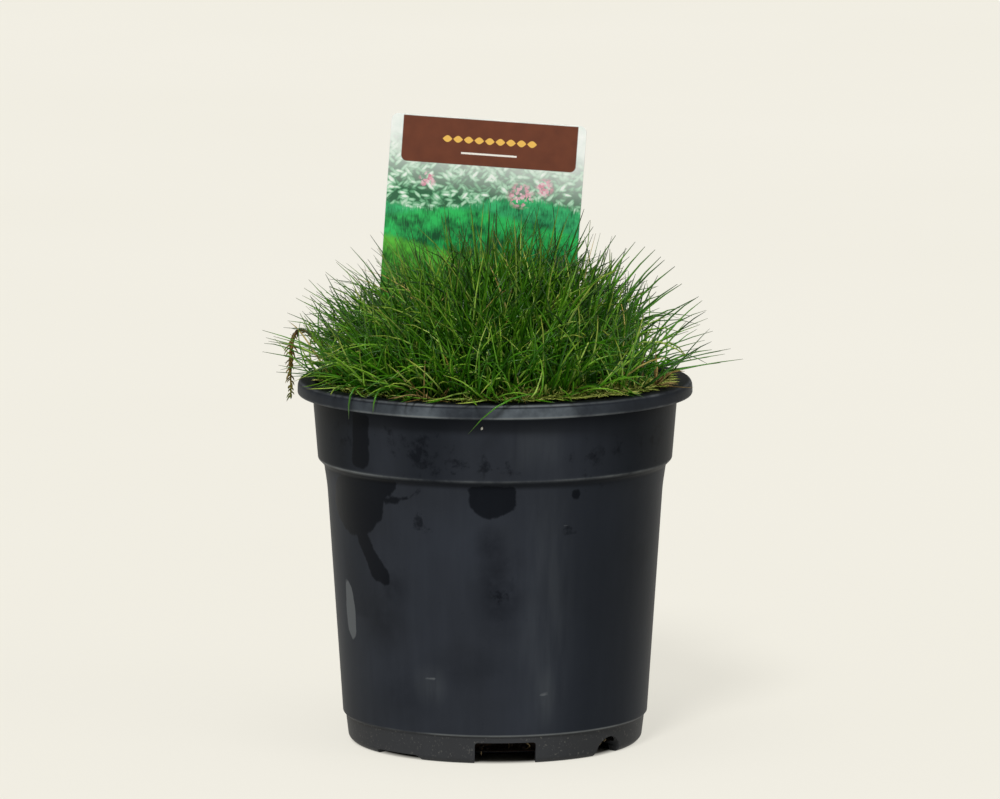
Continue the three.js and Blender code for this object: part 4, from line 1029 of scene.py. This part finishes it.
def leaf_layer(turned_by, wide, long):
    """Leaf-shaped cells in one direction: each is light in its middle and dark at its edge."""
    at = add(tree, "Mapping", {"Vector": sway, "Rotation": (0, 0, turned_by), "Scale": (wide, long, 1)},
             vector_type="TEXTURE")
    cells = add(tree, "TexVoronoi", {"Vector": at, "Scale": 1.0, "Randomness": 1.0})
    lit = add(tree, "MapRange", {"Value": cells, "From Min": 0.7, "From Max": 0.1},
              interpolation_type="SMOOTHSTEP")
    own = add(tree, "SeparateColor", {0: cells.outputs["Color"]})
    bright = add(tree, "Math", {0: own, 1: 0.75, 2: 0.25}, operation="MULTIPLY_ADD")
    return combined("MULTIPLY", lit, bright)


# The border's leaves lie three ways over dark and light ground, and fade into mist towards the top.
LEAVES_LIE = [(0.8, 2.1, 5.8), (-0.75, 1.9, 5.2), (1.5, 1.8, 4.5)]
leaves = combined("MAXIMUM", *(leaf_layer(*way) for way in LEAVES_LIE))
ground = add(tree, "Math", {0: soft, 1: 1.5, 2: -0.8}, operation="MULTIPLY_ADD")
leafy = add(tree, "ValToRGB", {"Fac": combined("ADD", leaves, ground)},
            stops=[(0.1, "2E6846"), (0.9, "F2FAF2"), (0.28, "62A87A"),
                   (0.48, "98D0AA"), (0.7, "C4E6CC")])
mist = add(tree, "ValToRGB", {"Fac": soft}, stops=[(0.3, "E4EEE9"), (0.7, "FBFDFB")])
rise = add(tree, "Math", {0: across, 1: 0.07, 2: up}, operation="MULTIPLY_ADD")
fade = add(tree, "MapRange", {"Value": rise, "From Min": -35, "From Max": -10})
picture = laid_over(leafy, fade, mist)

# Each slope: height of its ridge, how far that swings, over what length and from where, and the
# bright and the deep green of its grass.
SLOPES = [(-37, 3.5, 14, 0.3, "36BE74", "055832"), (-44, 4.5, 19, 2.1, "2CC862", "04522A"),
          (-57, 5.5, 25, 4.0, "62CA40", "1C641A"), (-72, 4, 17, 1.0, "58B840", "1E5C1A")]
shadings = [add(tree, "Math", {0: source, 1: swing, 2: -swing / 2}, operation="MULTIPLY_ADD")
            for source, swing in ((strokes, 1.6), (masses, 2.8))]
uneven = combined("ADD", *shadings)
for level, swing, period, start, bright, deep in SLOPES:
    turns = add(tree, "Math", {0: across, 1: 1 / period, 2: start}, operation="MULTIPLY_ADD")
    wave = add(tree, "Math", {0: turns}, operation="SINE")
    ridge = add(tree, "Math", {0: wave, 1: swing, 2: level}, operation="MULTIPLY_ADD")
    bladed = add(tree, "Math", {0: strokes, 1: 7.0, 2: ridge}, operation="MULTIPLY_ADD")
    under = combined("SUBTRACT", bladed, up)
    below = add(tree, "MapRange", {"Value": under, "From Min": 2.6, "From Max": 4.6})
    depth_here = add(tree, "MapRange", {"Value": under, "From Min": 2, "From Max": 16, "To Min": 0.08,
                                        "To Max": 0.74})
    blend = add(tree, "Math", {0: depth_here, 1: uneven}, operation="ADD", use_clamp=True)
    grass = laid_over(bright, blend, deep)
    picture = laid_over(picture, below, grass)

# Blossoms are small pink cells round three places, given with their radius.
BLOSSOMS = [((17, -31, 0), 6.5), ((27, -27, 0), 4.5), ((-24, -27, 0), 4)]
petals = add(tree, "TexVoronoi", {"Vector": drift, "Scale": 0.75, "Randomness": 1.0})
petal = add(tree, "MapRange", {"Value": petals, "From Min": 0.72, "From Max": 0.5})
some, paler = add(tree, "SeparateColor", {0: petals.outputs["Color"]}).outputs[:2]
chosen = add(tree, "Math", {0: some, 1: 0.14}, operation="GREATER_THAN")
heads = []
for at, radius in BLOSSOMS:
    off = add(tree, "VectorMath", {0: drift, 1: at}, operation="DISTANCE")
    heads.append(add(tree, "MapRange", {"Value": off, "From Min": radius, "From Max": radius * 0.6}))
flowered = combined("MULTIPLY", petal, chosen, combined("MAXIMUM", *heads))
pinks = laid_over("DB8CA2", paler, "F2D3DA")
picture = laid_over(picture, flowered, pinks)


def inked(distance, edge, spread=0.1):
    """One within a distance, nothing past it, with the slight spread of ink at the edge."""
    limits = {"From Min": edge + spread, "From Max": edge - spread}
    return add(tree, "MapRange", {"Value": distance, **limits})


# The band: square at the top, round at its lower corners, with a bare garland in amber over a white
# rule.
BAND_HALF, BAND_TOP, BAND_FOOT, BAND_CORNER, BAND_ASIDE, BAND_SPREAD = 38, -0.5, -20.5, 2.6, 0.8, 0.15
GARLAND_DOWN, GARLAND_HALF, BEAD_PITCH, BEAD_HALF, BEAD_GAP = 9.6, 20.7, 4.6, 1.7, 0.25
RULE_DOWN, RULE_HALF, RULE_THICK = 15.4, 12.1, 0.4
aside = add(tree, "Math", {0: across, 1: BAND_ASIDE}, operation="SUBTRACT")
wide = add(tree, "Math", {0: aside}, operation="ABSOLUTE")
beyond = [combined("MAXIMUM", combined("SUBTRACT", *pair), 0.0)
          for pair in ((wide, BAND_HALF - BAND_CORNER), (BAND_FOOT + BAND_CORNER, up))]
corner_at = add(tree, "CombineXYZ", dict(enumerate(beyond)))
gap = add(tree, "VectorMath", {0: corner_at}, operation="LENGTH")
banded = combined("MULTIPLY", inked(gap, BAND_CORNER, BAND_SPREAD), inked(up, BAND_TOP, BAND_SPREAD))
brown = add(tree, "ValToRGB", {"Fac": soft}, stops=[(0.3, "602B12"), (0.7, "6C3318")])
picture = laid_over(picture, banded, brown)
from_garland, from_rule = (add(tree, "Math", {0: combined("ADD", up, down)}, operation="ABSOLUTE")
                           for down in (GARLAND_DOWN, RULE_DOWN))
turns = combined("MULTIPLY", aside, math.pi / BEAD_PITCH)
waves = add(tree, "Math", {0: turns}, operation="COSINE")
beads = add(tree, "Math", {0: waves}, operation="ABSOLUTE")
bead_edge = add(tree, "Math", {0: beads, 1: BEAD_HALF, 2: -BEAD_GAP}, operation="MULTIPLY_ADD")
bead = inked(combined("SUBTRACT", bead_edge, from_garland), 0, -0.12)
picture = laid_over(picture, combined("MULTIPLY", bead, inked(wide, GARLAND_HALF)), "F0BE5A")
rule = combined("MULTIPLY", inked(from_rule, RULE_THICK), inked(wide, RULE_HALF))
picture = laid_over(picture, rule, "F5F1EA")
join(shader, {"Base Color": picture})

# The back and the stake are the bare white sheet, faintly cloudy and scuffed.
bare_card, tree, shader = new_material("white polystyrene sheet", Roughness=0.45, IOR=1.59,
                                       Specular_IOR_Level=0.4)
join(shader, {"Base Color": clouded(9, 4.0, (0.3, "E3E4E0"), (0.7, "ECECE8"))})
label = make_piece("printed_label", np.array(stood), faces, bare_card, printed, sharp=30)
prints = label.data.uv_layers.new(name="print").data
# The last face but one is the front.
for face in label.data.polygons:
    if face.index == len(faces) - 2:
        face.material_index = 1
    for loop in face.loop_indices:
        x, _, z = flat_points[label.data.loops[loop].vertex_index]
        prints[loop].uv = (x, z)
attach(label, "root")
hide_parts("picture_label")


# The studio
# A wide flat sheet of glowing pale card under and behind the plant, three soft boxes and the room's own
# even light. The card's glow is left out under the pot and fades in round it, which paints a soft
# shadow there.

paper, tree, shader = new_material("pale backdrop card", Roughness=0.9, Specular_IOR_Level=0.05,
                                   Emission_Strength=0.715)
where = add(tree, "TexCoord").outputs["Object"]
mild = add(tree, "TexNoise", {"Vector": where, "Scale": 1.1, "Detail": 3.0})
cream = add(tree, "ValToRGB", {"Fac": mild}, stops=[(0.2, "F0EDE2"), (0.8, "F3F0E6")])
away = add(tree, "VectorMath", {0: where}, operation="LENGTH")
# Painted shadow: the glow is dark under the pot and fades in round its foot.
DARK_TO, LIT_FROM = 57, 62.5
lit = add(tree, "MapRange", {"Value": away, "From Min": DARK_TO * MM, "From Max": LIT_FROM * MM})
glow = laid_over("000000", lit, cream)
dim = laid_over(cream, 0.72, "000000")
join(shader, {"Base Color": dim, "Emission Color": glow})
FLOOR_SIDE, FLOOR_FRONT, FLOOR_BACK = 9000, -6000, 12000
corners = [(-FLOOR_SIDE, FLOOR_FRONT, 0), (FLOOR_SIDE, FLOOR_FRONT, 0), (FLOOR_SIDE, FLOOR_BACK, 0),
           (-FLOOR_SIDE, FLOOR_BACK, 0)]
floor = make_piece("floor", corners, [[0, 1, 2, 3]], paper)

world = bpy.data.worlds.new("studio")
world.use_nodes = True
join(world.node_tree.nodes["Background"], {"Color": "F3F0E6", "Strength": 0.34})
bpy.context.scene.world = world


def soft_light(name, azimuth, elevation, strength, spread):
    """A large far light from an azimuth (0 is the front, 90 the right) and elevation, in degrees."""
    lamp = bpy.data.lights.new(name, "SUN")
    lamp.energy, lamp.angle = strength, math.radians(spread)
    holder = bpy.data.objects.new(name, lamp)
    a, e = math.radians(azimuth), math.radians(elevation)
    away = Vector((math.sin(a) * math.cos(e), -math.cos(a) * math.cos(e), math.sin(e)))
    holder.rotation_euler = away.to_track_quat("Z", "Y").to_euler()
    bpy.context.scene.collection.objects.link(holder)


soft_light("front_box", -14, 46, 1.9, 13)
soft_light("overhead_box", -30, 80, 0.7, 40)
soft_light("right_box", 58, 30, 0.3, 30)

CAMERA_BACK, CAMERA_UP, CAMERA_ASIDE = 3.0, 0.566, 0.00213
CAMERA_DOWN = math.radians(7.94)
FOCAL = 253.3
lens = bpy.data.cameras.new("camera")
lens.lens, lens.sensor_width, lens.clip_end = FOCAL, 36, 50
camera = bpy.data.objects.new("camera", lens)
camera.location = (CAMERA_ASIDE, -CAMERA_BACK, CAMERA_UP)
camera.rotation_euler = (math.tau / 4 - CAMERA_DOWN, 0, 0)
bpy.context.scene.collection.objects.link(camera)
bpy.context.scene.camera = camera
bpy.context.scene.view_settings.view_transform = "Standard"
